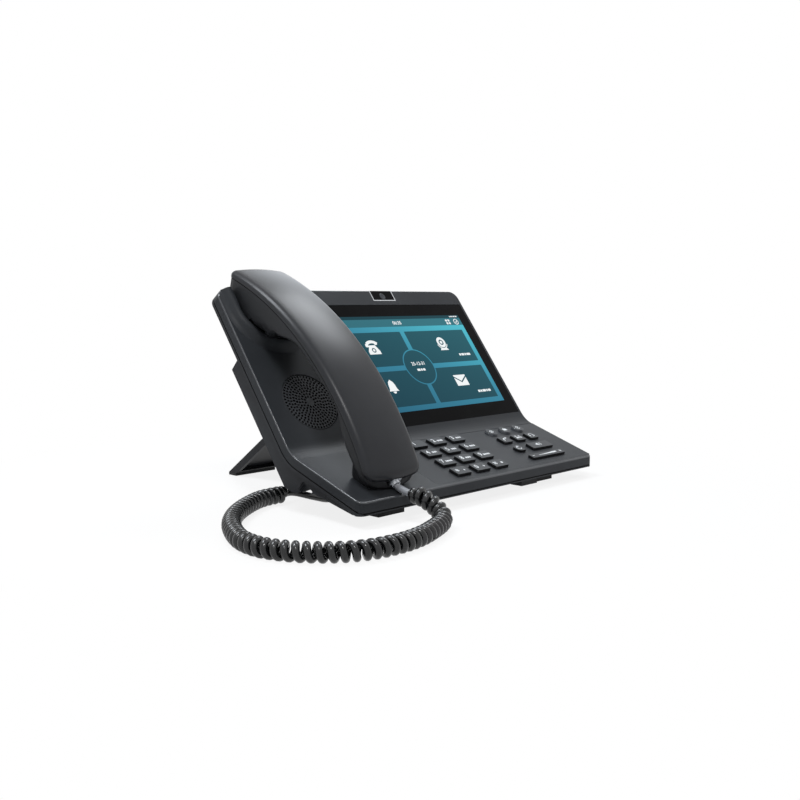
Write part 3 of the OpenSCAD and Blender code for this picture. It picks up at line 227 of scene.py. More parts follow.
def smooth(piece, angle=30):
    pick(piece)
    bpy.ops.object.shade_smooth_by_angle(angle=radians(angle))
    return piece


def placed(piece, matrix):
    # puts the place of a piece into its mesh and leaves its object at the origin
    piece.data.transform(matrix @ piece.matrix_world)
    piece.matrix_world = Matrix.Identity(4)
    piece.data.update()
    return piece


def joined(name, parts):
    pick(*parts)
    if len(parts) > 1:
        bpy.ops.object.join()
    return added(name)


def cutWith(piece, cutter):
    modify(piece, "BOOLEAN", object=cutter, operation="DIFFERENCE", solver="EXACT")
    bpy.data.objects.remove(cutter)
    return piece


def paint(piece, *materials):
    # gives a piece its materials in place of what it had
    piece.data.materials.clear()
    for material in materials:
        piece.data.materials.append(material)
    return piece


def settle(piece, body, slot, *standsFor):
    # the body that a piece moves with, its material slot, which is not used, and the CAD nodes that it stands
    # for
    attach(piece, body)
    if standsFor:
        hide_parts(*standsFor)
    return piece


def softCopy(node, material, slot, width, segments=2, smoothAngle=40, cutters=(), flats=None):
    # a copy of a CAD piece whose sharp edges get the small radius that moulding leaves; cutters make the
    # bodies that cut a rim or a groove; flats are the ways that its flat faces look, which stay flat
    # merged and wide are in mm and square mm; bend is the largest turn of an edge that is taken out
    merged, wide, bend = 0.002, 250, 0.6
    source = nodes[node]
    piece = copied(source)
    body = source["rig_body"]
    for key in list(piece.keys()):
        del piece[key]
    piece.parent = None
    piece.matrix_world = Matrix.Identity(4)
    piece.name = node + "_skin"
    editAll(piece)
    bpy.ops.mesh.remove_doubles(threshold=merged * mm)
    bpy.ops.mesh.dissolve_limited(angle_limit=radians(bend))
    bpy.ops.mesh.quads_convert_to_tris(quad_method="BEAUTY", ngon_method="CLIP")
    leaveEdit()
    for cutter in cutters:
        cutWith(piece, cutter())
    if width:
        roundEdges(piece, width * mm, segments, smoothAngle)
    smooth(piece, smoothAngle)
    if flats is None:
        flats = [face.normal.copy() for face in piece.data.polygons if face.area > wide * mm * mm]
    for flat in flats:
        selectBy(piece, "FACE", lambda middle, normal: normal.dot(flat) > 0.999995)
        bpy.ops.mesh.region_to_loop()
        bpy.ops.mesh.mark_sharp()
        leaveEdit()
    modify(piece, "WEIGHTED_NORMAL", mode="FACE_AREA_WITH_ANGLE", weight=100, keep_sharp=True)
    paint(piece, material)
    return settle(piece, body, slot, node)


# working with materials
def hexColor(text):
    parts = [int(text[i:i + 2], 16) / 255 for i in (1, 3, 5)]
    return [c / 12.92 if c <= 0.04045 else ((c + 0.055) / 1.055) ** 2.4 for c in parts] + [1]


def addNode(tree, kind, inputs=None):
    # adds a node; each input or option is set to a value, or linked to another node or to one of its outputs
    node = tree.nodes.new("ShaderNode" + kind)
    for name, value in (inputs or {}).items():
        if isinstance(value, bpy.types.Node):
            value = value.outputs[0]
        if isinstance(value, bpy.types.NodeSocket):
            tree.links.new(value, node.inputs[name])
        elif name == "steps":
            # the places and hex colors of a ramp
            while len(node.color_ramp.elements) < len(value):
                node.color_ramp.elements.new(0.5)
            for element, (place, color) in zip(node.color_ramp.elements, value):
                element.position = place
                element.color = hexColor(color)
        elif isinstance(name, int) or name in node.inputs:
            node.inputs[name].default_value = value
        else:
            setattr(node, name, value)
    return node


def emptyTree(owner):
    # the nodes of a material or a world, with the ready-made ones taken out
    owner.use_nodes = True
    owner.node_tree.nodes.clear()
    return owner.node_tree


def newMaterial(name):
    # a new material, its nodes and the place on its own object
    material = bpy.data.materials.new(name)
    tree = emptyTree(material)
    return material, tree, addNode(tree, "TexCoord").outputs["Object"]


def shaded(material, inputs):
    # gives a material its principled shader
    shader = addNode(material.node_tree, "BsdfPrincipled", inputs)
    addNode(material.node_tree, "OutputMaterial", {"Surface": shader})
    return material


def patterned(name, pattern, inputs, bump=None, grain=None):
    # a surface that follows a noise pattern, its size first, in millimetres: a list of steps gives a color
    # and a tuple the range of a number. Its relief, by strength and depth, follows the pattern or a finer grain
    material, tree, place = newMaterial(name)
    names = ("Detail", "Roughness", "Distortion")
    patterns = []
    for size, *others in filter(None, (pattern, grain)):
        settings = {"Vector": place, "Scale": 1 / (size * mm), **dict(zip(names, others))}
        patterns.append(addNode(tree, "TexNoise", settings))
    for kind, value in inputs.items():
        if isinstance(value, list) and isinstance(value[0], tuple):
            inputs[kind] = addNode(tree, "ValToRGB", {"Fac": patterns[0], "steps": value})
        elif isinstance(value, tuple):
            ends = dict(zip(("To Min", "To Max", "From Min", "From Max"), value))
            inputs[kind] = addNode(tree, "MapRange", {"Value": patterns[0], **ends})
    if bump:
        inputs["Normal"] = addNode(tree, "Bump", {"Height": patterns[-1], "Strength": bump[0],
                                                  "Distance": bump[1] * mm})
    return shaded(material, inputs)


def mouldedPlastic(name, color, colorWorn, roughness, grainMm, grainDepth, specular):
    # ABS from a spark-eroded mould: an even satin grain, and a faint cloudiness where hands rub it.
    # The grain is drawn a few times coarser than the real 0.1 mm, so that it shows
    return patterned(name, (45.5, 3), {
        "Base Color": [(0.3, color), (0.75, colorWorn)],
        "Roughness": (roughness - 0.035, roughness + 0.035),
        "Specular IOR Level": specular,
    }, (0.25, grainDepth), (grainMm, 2, 0.6))


print("tools ready")


# camera
view = {"place": (-515.28, -407.2, 119.97), "turn": 46.17, "down": 5.89, "lens": 43.54, "sensor": 36}
cameraData = bpy.data.cameras.new("camera")
cameraData.lens = view["lens"]
cameraData.sensor_width = view["sensor"]
camera = newObject("camera", cameraData)
camera.location = onHome @ Vector(view["place"])
camera.rotation_euler = (radians(90 - view["down"]), 0, -radians(view["turn"]))
bpy.context.scene.camera = camera
bpy.context.scene.view_settings.view_transform = "Standard"
print("camera placed")

# curly cord
cord = {
    "wire": 4.6,
    "outer": 11.9,
    "pitch": 5.9,
    "endPitch": 4.95,  # the turns lie closer together towards both ends
    "swell": 0.7,  # how soon they open out from there
    "perTurn": 18,
    "stretchTurns": 12,  # the turns nearest the handset, which stretch when it is lifted
    "fade": 0.6,  # the turns over which the coil opens into the straight wire at both ends
    "sheath": "#0B0C0D",
    "dust": "#191A1C",
    "lead": "#85878C",
    "leadDust": "#9B9DA2",
    "gloss": 0.22,
}
coilRoute = [
    (-88.5, -112, 18), (-88, -117, 17.5), (-88, -122, 16), (-87, -127, 13.5), (-86.5, -131.5, 10.5),
    (-88.5, -137, 7.5), (-95, -142, 6), (-107, -148, 6), (-123.5, -154.5, 6), (-139, -158, 6),
    (-153.5, -158.5, 6), (-167, -156.5, 6), (-178, -152, 6), (-187, -145, 6), (-194, -137, 6),
    (-199.5, -128.5, 6), (-203.5, -118, 6), (-205, -106, 6), (-201, -87.5, 6), (-187, -61.5, 6),
    (-168.5, -39.5, 6), (-146, -22, 6), (-125.5, -11.5, 6), (-104.5, -9.5, 6),
]
baseLead = [
    (-100.5, -9.1, 6), (-95.5, -9.2, 5.2), (-91, -11.5, 3.9), (-88, -16.5, 2.8),
    (-87, -23, 2.5), (-86.7, -29, 2.5), (-86.5, -34.5, 3.3), (-86.2, -38.7, 6),
]


def curvePoints(route, step):
    # points a step apart on a smooth curve through the route, which is first laid in fine steps
    fine = 40
    points = [Vector(p) for p in route]
    points = [2 * points[0] - points[1]] + points + [2 * points[-1] - points[-2]]
    dense = []
    for a, b, c, d in zip(points, points[1:], points[2:], points[3:]):
        for i in range(fine):
            t = i / fine
            dense.append(0.5 * (2 * b + (c - a) * t + (2 * a - 5 * b + 4 * c - d) * t * t
                                + (3 * b - a - 3 * c + d) * t ** 3))
    dense.append(points[-2])
    even, gone = [dense[0]], 0
    for a, b in zip(dense, dense[1:]):
        length = (b - a).length
        while gone + length >= step:
            share = (step - gone) / length
            a = a.lerp(b, share)
            length = (b - a).length
            even.append(a.copy())
            gone = 0
        gone += length
    return even


def coilPoints():
    # the wire's own line: round the route once for each pitch, drawn in to the middle at both ends
    fine, near = 0.05, 20  # the axis in small steps, and how many of them give its direction
    axis = curvePoints(coilRoute, fine)
    radius = (cord["outer"] - cord["wire"]) / 2
    side = Vector((1, 0, 0))
    wire, turns = [], [0]
    for i in range(1, len(axis)):
        share = sin(pi * i / len(axis)) ** cord["swell"]
        turns.append(turns[-1] + fine / (cord["endPitch"] + (cord["pitch"] - cord["endPitch"]) * share))
    due = 0
    for i, point in enumerate(axis):
        ahead = (axis[min(i + near, len(axis) - 1)] - axis[max(i - near, 0)]).normalized()
        side = (side - ahead * side.dot(ahead)).normalized()
        if turns[i] < due:
            continue
        due += 1 / cord["perTurn"]
        up = ahead.cross(side)
        ends = min(1, turns[i] / cord["fade"], (turns[-1] - turns[i]) / cord["fade"])
        reach = radius * ends * ends * (3 - 2 * ends)
        angle = 2 * pi * turns[i]
        wire.append(point + reach * (cos(angle) * side + sin(angle) * up))
    return wire


def cordTube(name, points, material):
    line = bpy.data.curves.new(name, "CURVE")
    line.dimensions = "3D"
    line.bevel_depth = cord["wire"] / 2
    line.bevel_resolution = 4
    line.use_fill_caps = True
    spline = line.splines.new("POLY")
    spline.points.add(len(points) - 1)
    for place, point in zip(spline.points, points):
        place.co = (*point, 1)
    pick(newObject(name, line))
    bpy.ops.object.convert(target="MESH")
    piece = added(name)
    bpy.ops.object.shade_smooth()
    paint(piece, material)
    return placed(piece, onRow)


def glossySheath(name, color, colorDust):
    # polyurethane sheath drawn over the wires: smooth and shiny, dulled in places by a little dust
    return patterned(name, (6.25, 4, 0.6), {
        "Base Color": [(0.35, color), (0.9, colorDust)],
        "Roughness": (cord["gloss"] - 0.05, cord["gloss"] + 0.1),
        "IOR": 1.55,
        "Specular IOR Level": 0.42,
    }, (0.12, 0.1))


cordSheath = glossySheath("drawn polyurethane sheath", cord["sheath"], cord["dust"])
leadSheath = glossySheath("drawn polyurethane sheath, silver", cord["lead"], cord["leadDust"])
plugMouth = (-88.75, -99.05, 21.67)
basePlugMouth = Vector((-86, homeY + 63.6, 13))
wire = coilPoints()
leadPoints = curvePoints([plugMouth, (-88.75, -100.65, 20.16), (-88.9, -108.04, 18.4), coilRoute[0]], 1)
tailPoints = curvePoints([coilRoute[-1], *baseLead, basePlugMouth - Vector((0, 0, 3.2)), basePlugMouth], 1)
splitAt = cord["stretchTurns"] * cord["perTurn"]
nearLine = leadPoints[:-1] + wire[:splitAt + 1]
farLine = wire[splitAt:] + tailPoints[1:]


def lengthOf(points):
    return sum((b - a).length for a, b in zip(points, points[1:])) * mm


nearCord = cordTube("cord_stretch", nearLine, cordSheath)
nearCord.data.materials.append(leadSheath)
# the straight end at the handset is silvery
for face in nearCord.data.polygons:
    if face.center.y > leadPoints[-1].y * mm:
        face.material_index = 1
farCord = cordTube("cord_rest", farLine, cordSheath)
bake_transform(nearCord)
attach(farCord, "base")
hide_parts("cord_lead_handset")
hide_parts("cord_coil", "cord_lead_base")
print("cord made:", round(lengthOf(nearLine), 3), "m and", round(lengthOf(farLine), 3), "m")


# handset
handset = {
    "width": 48,
    "mouthS": -3,  # the cord end, along the handset's own length
    "earS": 190.2,
    "crownRadius": 234,
    "crownS": 93,
    "crownHeight": 26.5,
    "tilt": 43.5,
    "start": 8,  # where its length starts, behind and above the housing's front top edge
    "shellDepth": 6,
    "crownSag": 1.8,  # how much lower the arched back lies along its two long edges
    "rimRadius": 4.6,
    "mouthCorner": 6,
    "earCorner": 5,
    "mouthArc": 3,
    "seamGap": 0.7,
    "underRadius": 2.4,
    "earV": 132.5,  # the ear end's lower edge, along the face and above it
    "earH": -1.5,
    "screws": (68, 90),
    "inset": 0.35,  # how far the inner shell lies inside the back's edges
    "screwHole": (2.6, 8, 13.1),  # radius, depth and height
    "ear": (18.2, 9, -2.7),  # how far it runs up from its middle, its thickness and its height in the cup
    "earHole": (0.9, 3, 5),  # radius, depth and how far from the middle
    "microphoneHole": (0.8, 8, 15, -13),  # radius, depth, length and height
    # name, clean and worn color, roughness, grain and its depth in millimetres, specular level
    "back": ("moulded ABS, satin, handset", "#26272A", "#2C2D30", 0.31, 0.6, 0.01, 0.19),
    "inside": ("moulded ABS, satin, handset inside", "#242527", "#2A2B2E", 0.4, 0.6, 0.012, 0.16),
}
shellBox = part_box("handset_outer_shell")
cradleX = (shellBox[0].x + shellBox[1].x) / 2 / mm
onHand = tilted(cradleX, handset["start"], handset["start"], handset["tilt"])


def crownAngle(s):
    return asin((s - handset["crownS"]) / handset["crownRadius"])


def crownPoint(s, depth):
    # a point of the handset's side view at a depth under the arched back
    angle = crownAngle(s)
    reach = handset["crownRadius"] - depth
    return (handset["crownS"] + reach * sin(angle),
            handset["crownHeight"] - handset["crownRadius"] + reach * cos(angle))


def arcSlab(name, inset, depth0, depth1, rim):
    # a flat slab with rounded corners, rounded along its upper rim and then bent to the handset's arch
    radius = handset["crownRadius"]
    low = radius * crownAngle(handset["mouthS"]) + handset["mouthArc"] + inset
    high = radius * crownAngle(handset["earS"]) - inset
    wide = handset["width"] - 2 * inset
    bpy.ops.mesh.primitive_cube_add(size=1, location=(0, (depth0 + depth1) / 2, (low + high) / 2))
    slab = added(name)
    slab.scale = (wide, depth1 - depth0, high - low)
    bpy.ops.object.transform_apply(location=True, rotation=True, scale=True)
    bevelBy(slab, "EDGE", lambda middle, along: abs(along.y) > 0.9 and middle.z < 0,
            handset["mouthCorner"] - inset, 8)
    bevelBy(slab, "EDGE", lambda middle, along: abs(along.y) > 0.9 and middle.z > high - 1,
            handset["earCorner"] - inset, 6)
    if rim:
        bevelBy(slab, "FACE", lambda middle, normal: normal.y < -0.9, rim, 6)
    step, columns = 3, 12
    cuts = [low + step * i for i in range(1, int((high - low) / step))]
    across = [wide / columns * i for i in range(1 - columns // 2, columns // 2)]
    for place, normal in [((0, 0, z), (0, 0, 1)) for z in cuts] + [((x, 0, 0), (1, 0, 0)) for x in across]:
        editAll(slab)
        bpy.ops.mesh.bisect(plane_co=place, plane_no=normal)
        leaveEdit()
    # the cord end is bowed, the ear end leans and the back sags to its long edges
    lean, leanFrom, bowReach = 0.2 * (depth1 - depth0), high - 6, 16
    for vert in slab.data.vertices:
        x, y, z = vert.co
        share = 2 * x / wide
        end = max(0, 1 - (z - low) / bowReach)
        vert.co.z -= handset["mouthArc"] * (1 - share * share) * end * end
        if z > leanFrom:
            vert.co.z -= lean * (y - depth0) / (depth1 - depth0)
        if rim:
            vert.co.y += handset["crownSag"] * share * share * (1 - (y - depth0) / (depth1 - depth0))
    size = max(v.co.z for v in slab.data.vertices) - min(v.co.z for v in slab.data.vertices)
    modify(slab, "SIMPLE_DEFORM", deform_method="BEND", deform_axis="X", angle=size / radius)
    # from width, depth and length to width, length and height
    slab.data.transform(Matrix(((1, 0, 0, 0), (0, 0, 1, handset["crownS"]),
                                (0, -1, 0, handset["crownHeight"]), (0, 0, 0, 1))))
    return cleanUp(slab)


def profileSolid(name, outline, depth):
    # a plate with the given outline, extruded upwards
    bpy.ops.mesh.primitive_circle_add(vertices=len(outline), fill_type="NGON")
    plate = added(name)
    for vert, point in zip(plate.data.vertices, outline):
        vert.co = (point[0], point[1], 0)
    editAll(plate)
    bpy.ops.mesh.extrude_region_move(TRANSFORM_OT_translate={"value": (0, 0, depth)})
    leaveEdit(outwards=True)
    return plate


outerPlastic = mouldedPlastic(*handset["back"])
innerPlastic = mouldedPlastic(*handset["inside"])
back = smooth(arcSlab("handset_back", 0, 0, handset["shellDepth"], handset["rimRadius"]), 35)
settle(paint(placed(back, onHand), outerPlastic), "handset", "handset_plastic", "handset_outer_shell")
print("handset back made")


def onHandOf(y, z):
    # a point of the housing's side view, in the handset's own length and height
    a = radians(handset["tilt"])
    y, z = y - handset["start"], z - handset["start"]
    return (y * cos(a) + z * sin(a), z * cos(a) - y * sin(a))


def faceSide(v, h):
    # a point beside the housing's face, at v up the face and h in front of it
    a = radians(housing["faceTilt"])
    return onHandOf(bendY + v * cos(a) - h * sin(a), bendZ + v * sin(a) + h * cos(a))


def seamPoint(s):
    # where the lower shell starts, below the seam
    return crownPoint(s, handset["shellDepth"] + handset["seamGap"])


def plumpEnd(reach, length):
    # how wide a rounded end is, from 0 to 1, at a distance from its tip
    power = 2.65
    share = min(1, max(0.0015, reach / length))
    return (1 - (1 - share) ** power) ** (1 / power)


def lofted(name, stations, radius):
    # a body laid through rings: each station gives its upper point, its lower point and its half width
    sides = 24
    bpy.ops.mesh.primitive_grid_add(x_subdivisions=sides, y_subdivisions=len(stations) - 1, size=1)
    shell = added(name)
    for row, (top, low, half, *edge) in enumerate(stations):
        down = Vector(low) - Vector(top)
        deep = down.length
        down.normalize()
        r = min(edge[0] if edge else radius, 0.6 * min(deep, half))
        ring = [(-half + half * i / 3, 0) for i in range(7)] + [(half, (deep - r) / 2)]
        ring += arc(half - r, deep - r, r, 0, 90, 4) + [((half - r) * x, deep) for x in (0.5, 0, -0.5)]
        ring += arc(r - half, deep - r, r, 90, 180, 4) + [(-half, (deep - r) / 2), (-half, 0)]
        for column in range(sides + 1):
            x, depth = ring[min(column, len(ring) - 1)]
            s, n = Vector(top) + down * depth
            shell.data.vertices[row * (sides + 1) + column].co = (x, s, n)
    editAll(shell, "VERT")
    bpy.ops.mesh.remove_doubles(threshold=0.0005)
    bpy.ops.mesh.select_all(action="DESELECT")
    bpy.ops.mesh.select_non_manifold()
    bpy.ops.mesh.fill_holes(sides=0)
    leaveEdit(outwards=True)
    return shell


def drilled(piece, radius, depth, matrix):
    # cuts a round hole along the matrix's own z axis
    bpy.ops.mesh.primitive_cylinder_add(vertices=20, radius=radius, depth=depth)
    return cutWith(piece, placed(added("drill"), matrix))


def handsetInner(material):
    # the lower shell: grip and mouthpiece in one body, the ear part in the cup, and the pad in front
    half = handset["width"] / 2 - handset["inset"]
    mouth = handset["mouthS"] + 0.2
    under = [(-2.7, -2.4), (-2, -2.9), (-0.5, -3.1), (2, -2.9), (5, -2.6), (8, -2.2), (15, -1), (23, 0.8),
             (30, 2.8), (36, 5.3), (41, 8.2), (45.5, 11.4), (50, 13.9), (55, 15.1), (62, 15.6), (75, 15.9),
             (93, 16.3), (98, 16.4), (103.5, 15.8), (109.5, 13.9), (114.5, 11.2), (118.5, 8.5), (122, 6.5),
             (125, 5.7)]
    stations = [(seamPoint(s), (s, n), half * plumpEnd(s - mouth, 12)) for s, n in under]
    # the ear part: its corners narrow to the cup's round end, and past that it goes down into the cup
    cupV, cupRadius, lip, inCup = 112, 23.7, 5.1, 102
    firstV, firstS, lastS = 86, 128.5, 188.8
    for v in (firstV, 89, 92, 95, 98, 101.5, 104, 107, cupV, 117, 122, 127, 130.5, handset["earV"]):
        s = firstS + (lastS - firstS) * (v - firstV) / (handset["earV"] - firstV)
        cup = sqrt(max(0, cupRadius ** 2 - max(0, cupV - v) ** 2))
        corner = min(1, (lastS + 0.2 - s) / 4)
        low = faceSide(v, lip if v < inCup else handset["earH"])
        stations.append((seamPoint(s), low, half - 2.5 * (1 - corner) ** 2, max(0.8, half - cup)))
    body = lofted("handset_front", stations, handset["underRadius"])
    radius, depth, height = handset["screwHole"]
    for s in handset["screws"]:
        drilled(body, radius, depth, Matrix.Translation((0, s, height)))
    core = arcSlab("handset_core", 0.9, 4, handset["shellDepth"] + 1.6, 0)
    earHalf = half - 0.1
    top, thick, height = handset["ear"]
    outline = arc(0, 0, earHalf, 180, 360, 40) + [(earHalf, top), (-earHalf, top)]
    ear = profileSolid("handset_ear", outline, thick)
    roundEdges(ear, 1.6, 4, 50)
    radius, depth, reach = handset["earHole"]
    for i in range(7):
        turn = Matrix.Rotation(pi * i / 3, 4, "Z")
        drilled(ear, radius, depth, turn @ Matrix.Translation((0 if i == 6 else reach, 0, 0)))
    ear.data.transform(onHand.inverted() @ onFace @ Matrix.Translation((cradleX, cupV, height)))
    front = [(-1.9, -4.4), (-1.2, -5.6), (0.2, -7), (2, -8), (4, -8.6), (9, -10.6), (14, -12.4), (16.5, -12),
             (19, -9), (22, -5), (25, -1), (27, 0.6)]
    stations = [((s, -1.5 + 0.1 * s), (s, n), 17 * plumpEnd(s + 2.2, 8)) for s, n in front]
    pad = lofted("handset_pad", stations, 1.4)
    radius, depth, s, n = handset["microphoneHole"]
    drilled(pad, radius, depth, Matrix.Translation((0, s, n)))
    inner = smooth(joined("handset_front", [body, core, ear, pad]), 32)
    return paint(placed(inner, onHand), material)


settle(handsetInner(innerPlastic), "handset", "handset_inner_plastic", "handset_inner_shell")
print("handset front made")


# housing
housingLook = {
    "edge": 0.8,  # the covers' rounded rim
    "groove": 0.4,  # half the seam's width
    # name, clean and worn color, roughness, grain and its depth in millimetres, specular level
    "cover": ("moulded ABS, spark-eroded, cover", "#2B2D30", "#323437", 0.4, 0.5, 0.02, 0.1),
    "rear": ("moulded ABS, spark-eroded, rear", "#26272A", "#323437", 0.46, 0.6, 0.03, 0.14),
    "plate": ("moulded ABS, fine matt, keypad plate", "#292B2E", "#37393C", 0.46, 0.45, 0.015, 0.1),
    "stand": ("moulded ABS, coarse matt, stand", "#1D1E21", "#26272A", 0.44, 0.8, 0.03, 0.14),
    "jack": ("moulded PBT, jacks", "#26272A", "#2D2E31", 0.35, 0.4, 0.01, 0.2),
    "black": ("moulded ABS, black", "#151517", "#1B1B1D", 0.4, 0.5, 0.01, 0.16),
    # the rim's colour is lighter than the cover's: a painted highlight along the edge
    "rim": ("moulded ABS, glossy rim, painted highlight", "#3C3E42", "#45474B", 0.24, 0.5, 0.004, 0.5),
    "seam": ("ABS in the shade of a joint", "#060606", "#0A0A0A", 0.7, 0.5, 0.01, 0.1),
}


def metal(name, color, roughness, lineMm, depth):
    # bright plating or turned steel: sharp reflections, with fine marks from drawing or polishing
    return patterned(name, (lineMm, 3), {
        "Base Color": hexColor(color),
        "Metallic": 1,
        "Roughness": (roughness - 0.04, roughness + 0.06),
    }, (0.15, depth))


def rubber(name, color, grainMm):
    # moulded rubber: matt, with a powdery bloom
    return patterned(name, (grainMm, 5, 0.7), {
        "Base Color": [(0.35, color), (0.85, "#2B2B2C")],
        "Roughness": 0.85,
    }, (0.3, 0.03))


def circuitBoard():
    # glass-epoxy laminate under green solder mask: smooth, with copper tracks showing paler through it
    material, tree, place = newMaterial("FR4 board, green solder mask")
    tracks = addNode(tree, "TexBrick", {"Vector": place, "Scale": 1 / (9.09 * mm), "Color1": (0, 0, 0, 1),
                                        "Color2": (0, 0, 0, 1), "Mortar": (1, 1, 1, 1), "Mortar Size": 0.03})
    steps = [(0, "#1F5A33"), (1, "#2F7A48")]
    return shaded(material, {
        "Base Color": addNode(tree, "ValToRGB", {"Fac": tracks.outputs["Fac"], "steps": steps}),
        "Roughness": 0.35,
    })


def dress(material, *names):
    # gives CAD pieces their own material
    for name in names:
        piece = nodes[name]
        if not piece.material_slots:
            piece.data.materials.append(material)
        for slot in piece.material_slots:
            slot.material = material


coverPlastic, rearPlastic, platePlastic, standPlastic, jackPlastic, blackPlastic, rimHighlightPlastic, paintedShadeBlack = (
    mouldedPlastic(*housingLook[part])
    for part in ("cover", "rear", "plate", "stand", "jack", "black", "rim", "seam"))
footRubber = rubber("moulded rubber, foot", "#161617", 0.7)
steel = metal("zinc-plated steel, screws", "#B9BDC2", 0.3, 0.4, 0.005)
chrome = metal("chrome-plated ABS, bezel", "#CFD2D6", 0.14, 2, 0.001)
capsuleMetal = metal("stamped aluminium, capsule", "#B4B7BB", 0.35, 0.5, 0.005)

deckLean, faceLean = radians(housing["deckTilt"]), radians(housing["faceTilt"])
bendLean = radians((housing["deckTilt"] + housing["faceTilt"]) / 2)
bendHalf = radians((housing["faceTilt"] - housing["deckTilt"]) / 2)
bendReach = housing["bendRadius"] * tan(bendHalf)  # how far the bend runs into the deck and the face
toHome, toDeck, toFace = onHome.inverted(), onDeck.inverted(), onFace.inverted()


def upFrom(lean):
    # the way that a surface leaning back by this angle looks
    return Vector((0, -sin(lean), cos(lean)))


bendMiddle = onHome @ Vector((0, bendY, bendZ))
bendMiddle += mm * housing["bendRadius"] / cos(bendHalf) * upFrom(bendLean)


def sunk(place):
    # the height of a place above the cover's top surface, in millimetres
    if (toDeck @ place).y < housing["deckLength"] - bendReach:
        return (toDeck @ place).z
    if (toFace @ place).y > bendReach:
        return (toFace @ place).z
    across = place - bendMiddle
    across.x = 0
    return housing["bendRadius"] - across.length / mm


def rimPath():
    # the covers' outline as places on its upper edge, each with the ways outwards and down the side
    half, slope = housing["width"] / 2, tan(deckLean)
    side, along = Vector((1, 0, 0)), Vector((0, cos(faceLean), sin(faceLean)))
    frontR, topR = housing["frontCorner"], housing["topCorner"]
    turns = [radians(90 * i / 8) for i in range(9)]
    path = []
    for turn in turns:
        a, b = sin(turn), -cos(turn)
        x, y = half - frontR + frontR * a, frontR + frontR * b
        down = Vector((0, 0, -1 / cos(deckLean)))
        path.append((Vector((x, y, y * slope)), Vector((a, b, b * slope)), down))
    for v in (frontR + 4, 30, housing["deckLength"] - bendReach):
        path.append((Vector((half, v * cos(deckLean), v * sin(deckLean))), side, -upFrom(deckLean)))
    middle = toHome @ bendMiddle
    for i in range(1, 9):
        normal = upFrom(deckLean + (faceLean - deckLean) * i / 8)
        path.append((Vector((half, *(middle - housing["bendRadius"] * normal).yz)), side, -normal))
    start, halfway = Vector((0, bendY, bendZ)), 60
    path.append((start + side * half + along * halfway, side, -upFrom(faceLean)))
    for turn in turns:
        out = side * cos(turn) + along * sin(turn)
        corner = side * (half - topR) + along * (housing["faceLength"] - topR)
        path.append((start + corner + out * topR, out, -upFrom(faceLean)))
    mirror = Vector((-1, 1, 1))
    return path + [(place * mirror, out * mirror, down) for place, out, down in reversed(path)]


def rimCutter(section, depth=0):
    # a closed rail along the outline, its section given outwards and downwards
    path = rimPath()
    count, sides = len(path), len(section)
    bpy.ops.mesh.primitive_torus_add(major_segments=count, minor_segments=sides)
    rail = added("rim_cutter")
    for i, (place, outwards, down) in enumerate(path):
        for j, (a, b) in enumerate(section):
            rail.data.vertices[i * sides + j].co = place + outwards * a + down * (b + depth)
    editAll(placed(rail, onHome))
    leaveEdit(outwards=True)
    return rail


def roundRim():
    # cuts the covers' upper edge to a quarter round
    w = housingLook["edge"]
    return rimCutter([(1, -1), (-w, -1)] + arc(-w, w, w, -90, 0, 4) + [(1, w)])


def seamGroove():
    # cuts the gap where the covers meet
    w = housingLook["groove"]
    return rimCutter([(0.6, -w), (-1.2 * w, -w), (-1.2 * w, w), (0.6, w)], housing["skirt"])


def darkSeam(piece, material):
    # the narrow gap between the covers: light does not reach into it
    deep, w, half = 0.05, housingLook["groove"], housing["width"] / 2

    def isSeam(middle, normal):
        x, y = abs(middle.x / mm), (toHome @ middle).y
        onSide = (x < half - deep or y < 6) and x > half - 2 * w
        return abs(sunk(middle) + housing["skirt"]) < w + 0.02 and (onSide or deep < y < 2 * w)

    piece.data.materials.append(material)
    paintFaces(piece, 1, isSeam)


mainFlats = [upFrom(lean) * sign for lean in (deckLean, faceLean) for sign in (1, -1)]
mainFlats += [Vector(way) for way in ((1, 0, 0), (-1, 0, 0), (0, -1, 0), (0, 0, -1), (0, 0, 1))]


def isRim(middle, normal):
    # whether a face lies on the rounded rim of the front cover
    home, face = toHome @ middle, toFace @ middle
    if max(abs(normal.dot(flat)) for flat in mainFlats) >= 0.999:
        return False
    if not -housingLook["edge"] - 0.02 < sunk(middle) < 0.02:
        return False
    x, near = abs(home.x) - housing["width"] / 2, housingLook["edge"] + 0.05
    topBow = Vector((x + housing["topCorner"], face.y - housing["faceLength"] + housing["topCorner"]))
    frontBow = Vector((x + housing["frontCorner"], housing["frontCorner"] - home.y))
    for bow, radius in ((topBow, housing["topCorner"]), (frontBow, housing["frontCorner"])):
        if min(bow) > 0:
            return bow.length > radius - near
    return x > -near or home.y < near or face.y > housing["faceLength"] - near


frontCover = softCopy("front_cover", coverPlastic, "cover_plastic", 0, cutters=(roundRim, seamGroove),
                      flats=mainFlats)
darkSeam(frontCover, paintedShadeBlack)
# the faces of the rounded rim get the lighter material: a painted highlight line
frontCover.data.materials.append(rimHighlightPlastic)
paintFaces(frontCover, 2, isRim)
rearCover = softCopy("rear_cover", rearPlastic, "rear_plastic", 0, cutters=(seamGroove,), flats=mainFlats)
darkSeam(rearCover, paintedShadeBlack)
softCopy("keypad_plate", platePlastic, "plate_plastic", 0, smoothAngle=1, flats=())
softCopy("stand", standPlastic, "stand_plastic", 0.4)
softCopy("stand_feet", footRubber, "foot_rubber", 0.5, 3)
softCopy("front_feet", footRubber, "foot_rubber", 0.5, 3)
dress(steel, "cover_screws", "board_screws", "stand_hinge_pins", "handset_screws")
dress(blackPlastic, "camera_module", "speaker_driver", "hook_switch", "handset_receiver")
dress(jackPlastic, "base_handset_jack", "handset_jack", "network_jacks", "power_jack")
dress(circuitBoard(), "main_board", "port_board", "keypad_board")
dress(rubber("moulded silicone, key mat", "#6F7174", 0.5), "keypad_mat")
dress(capsuleMetal, "base_microphone", "handset_microphone")
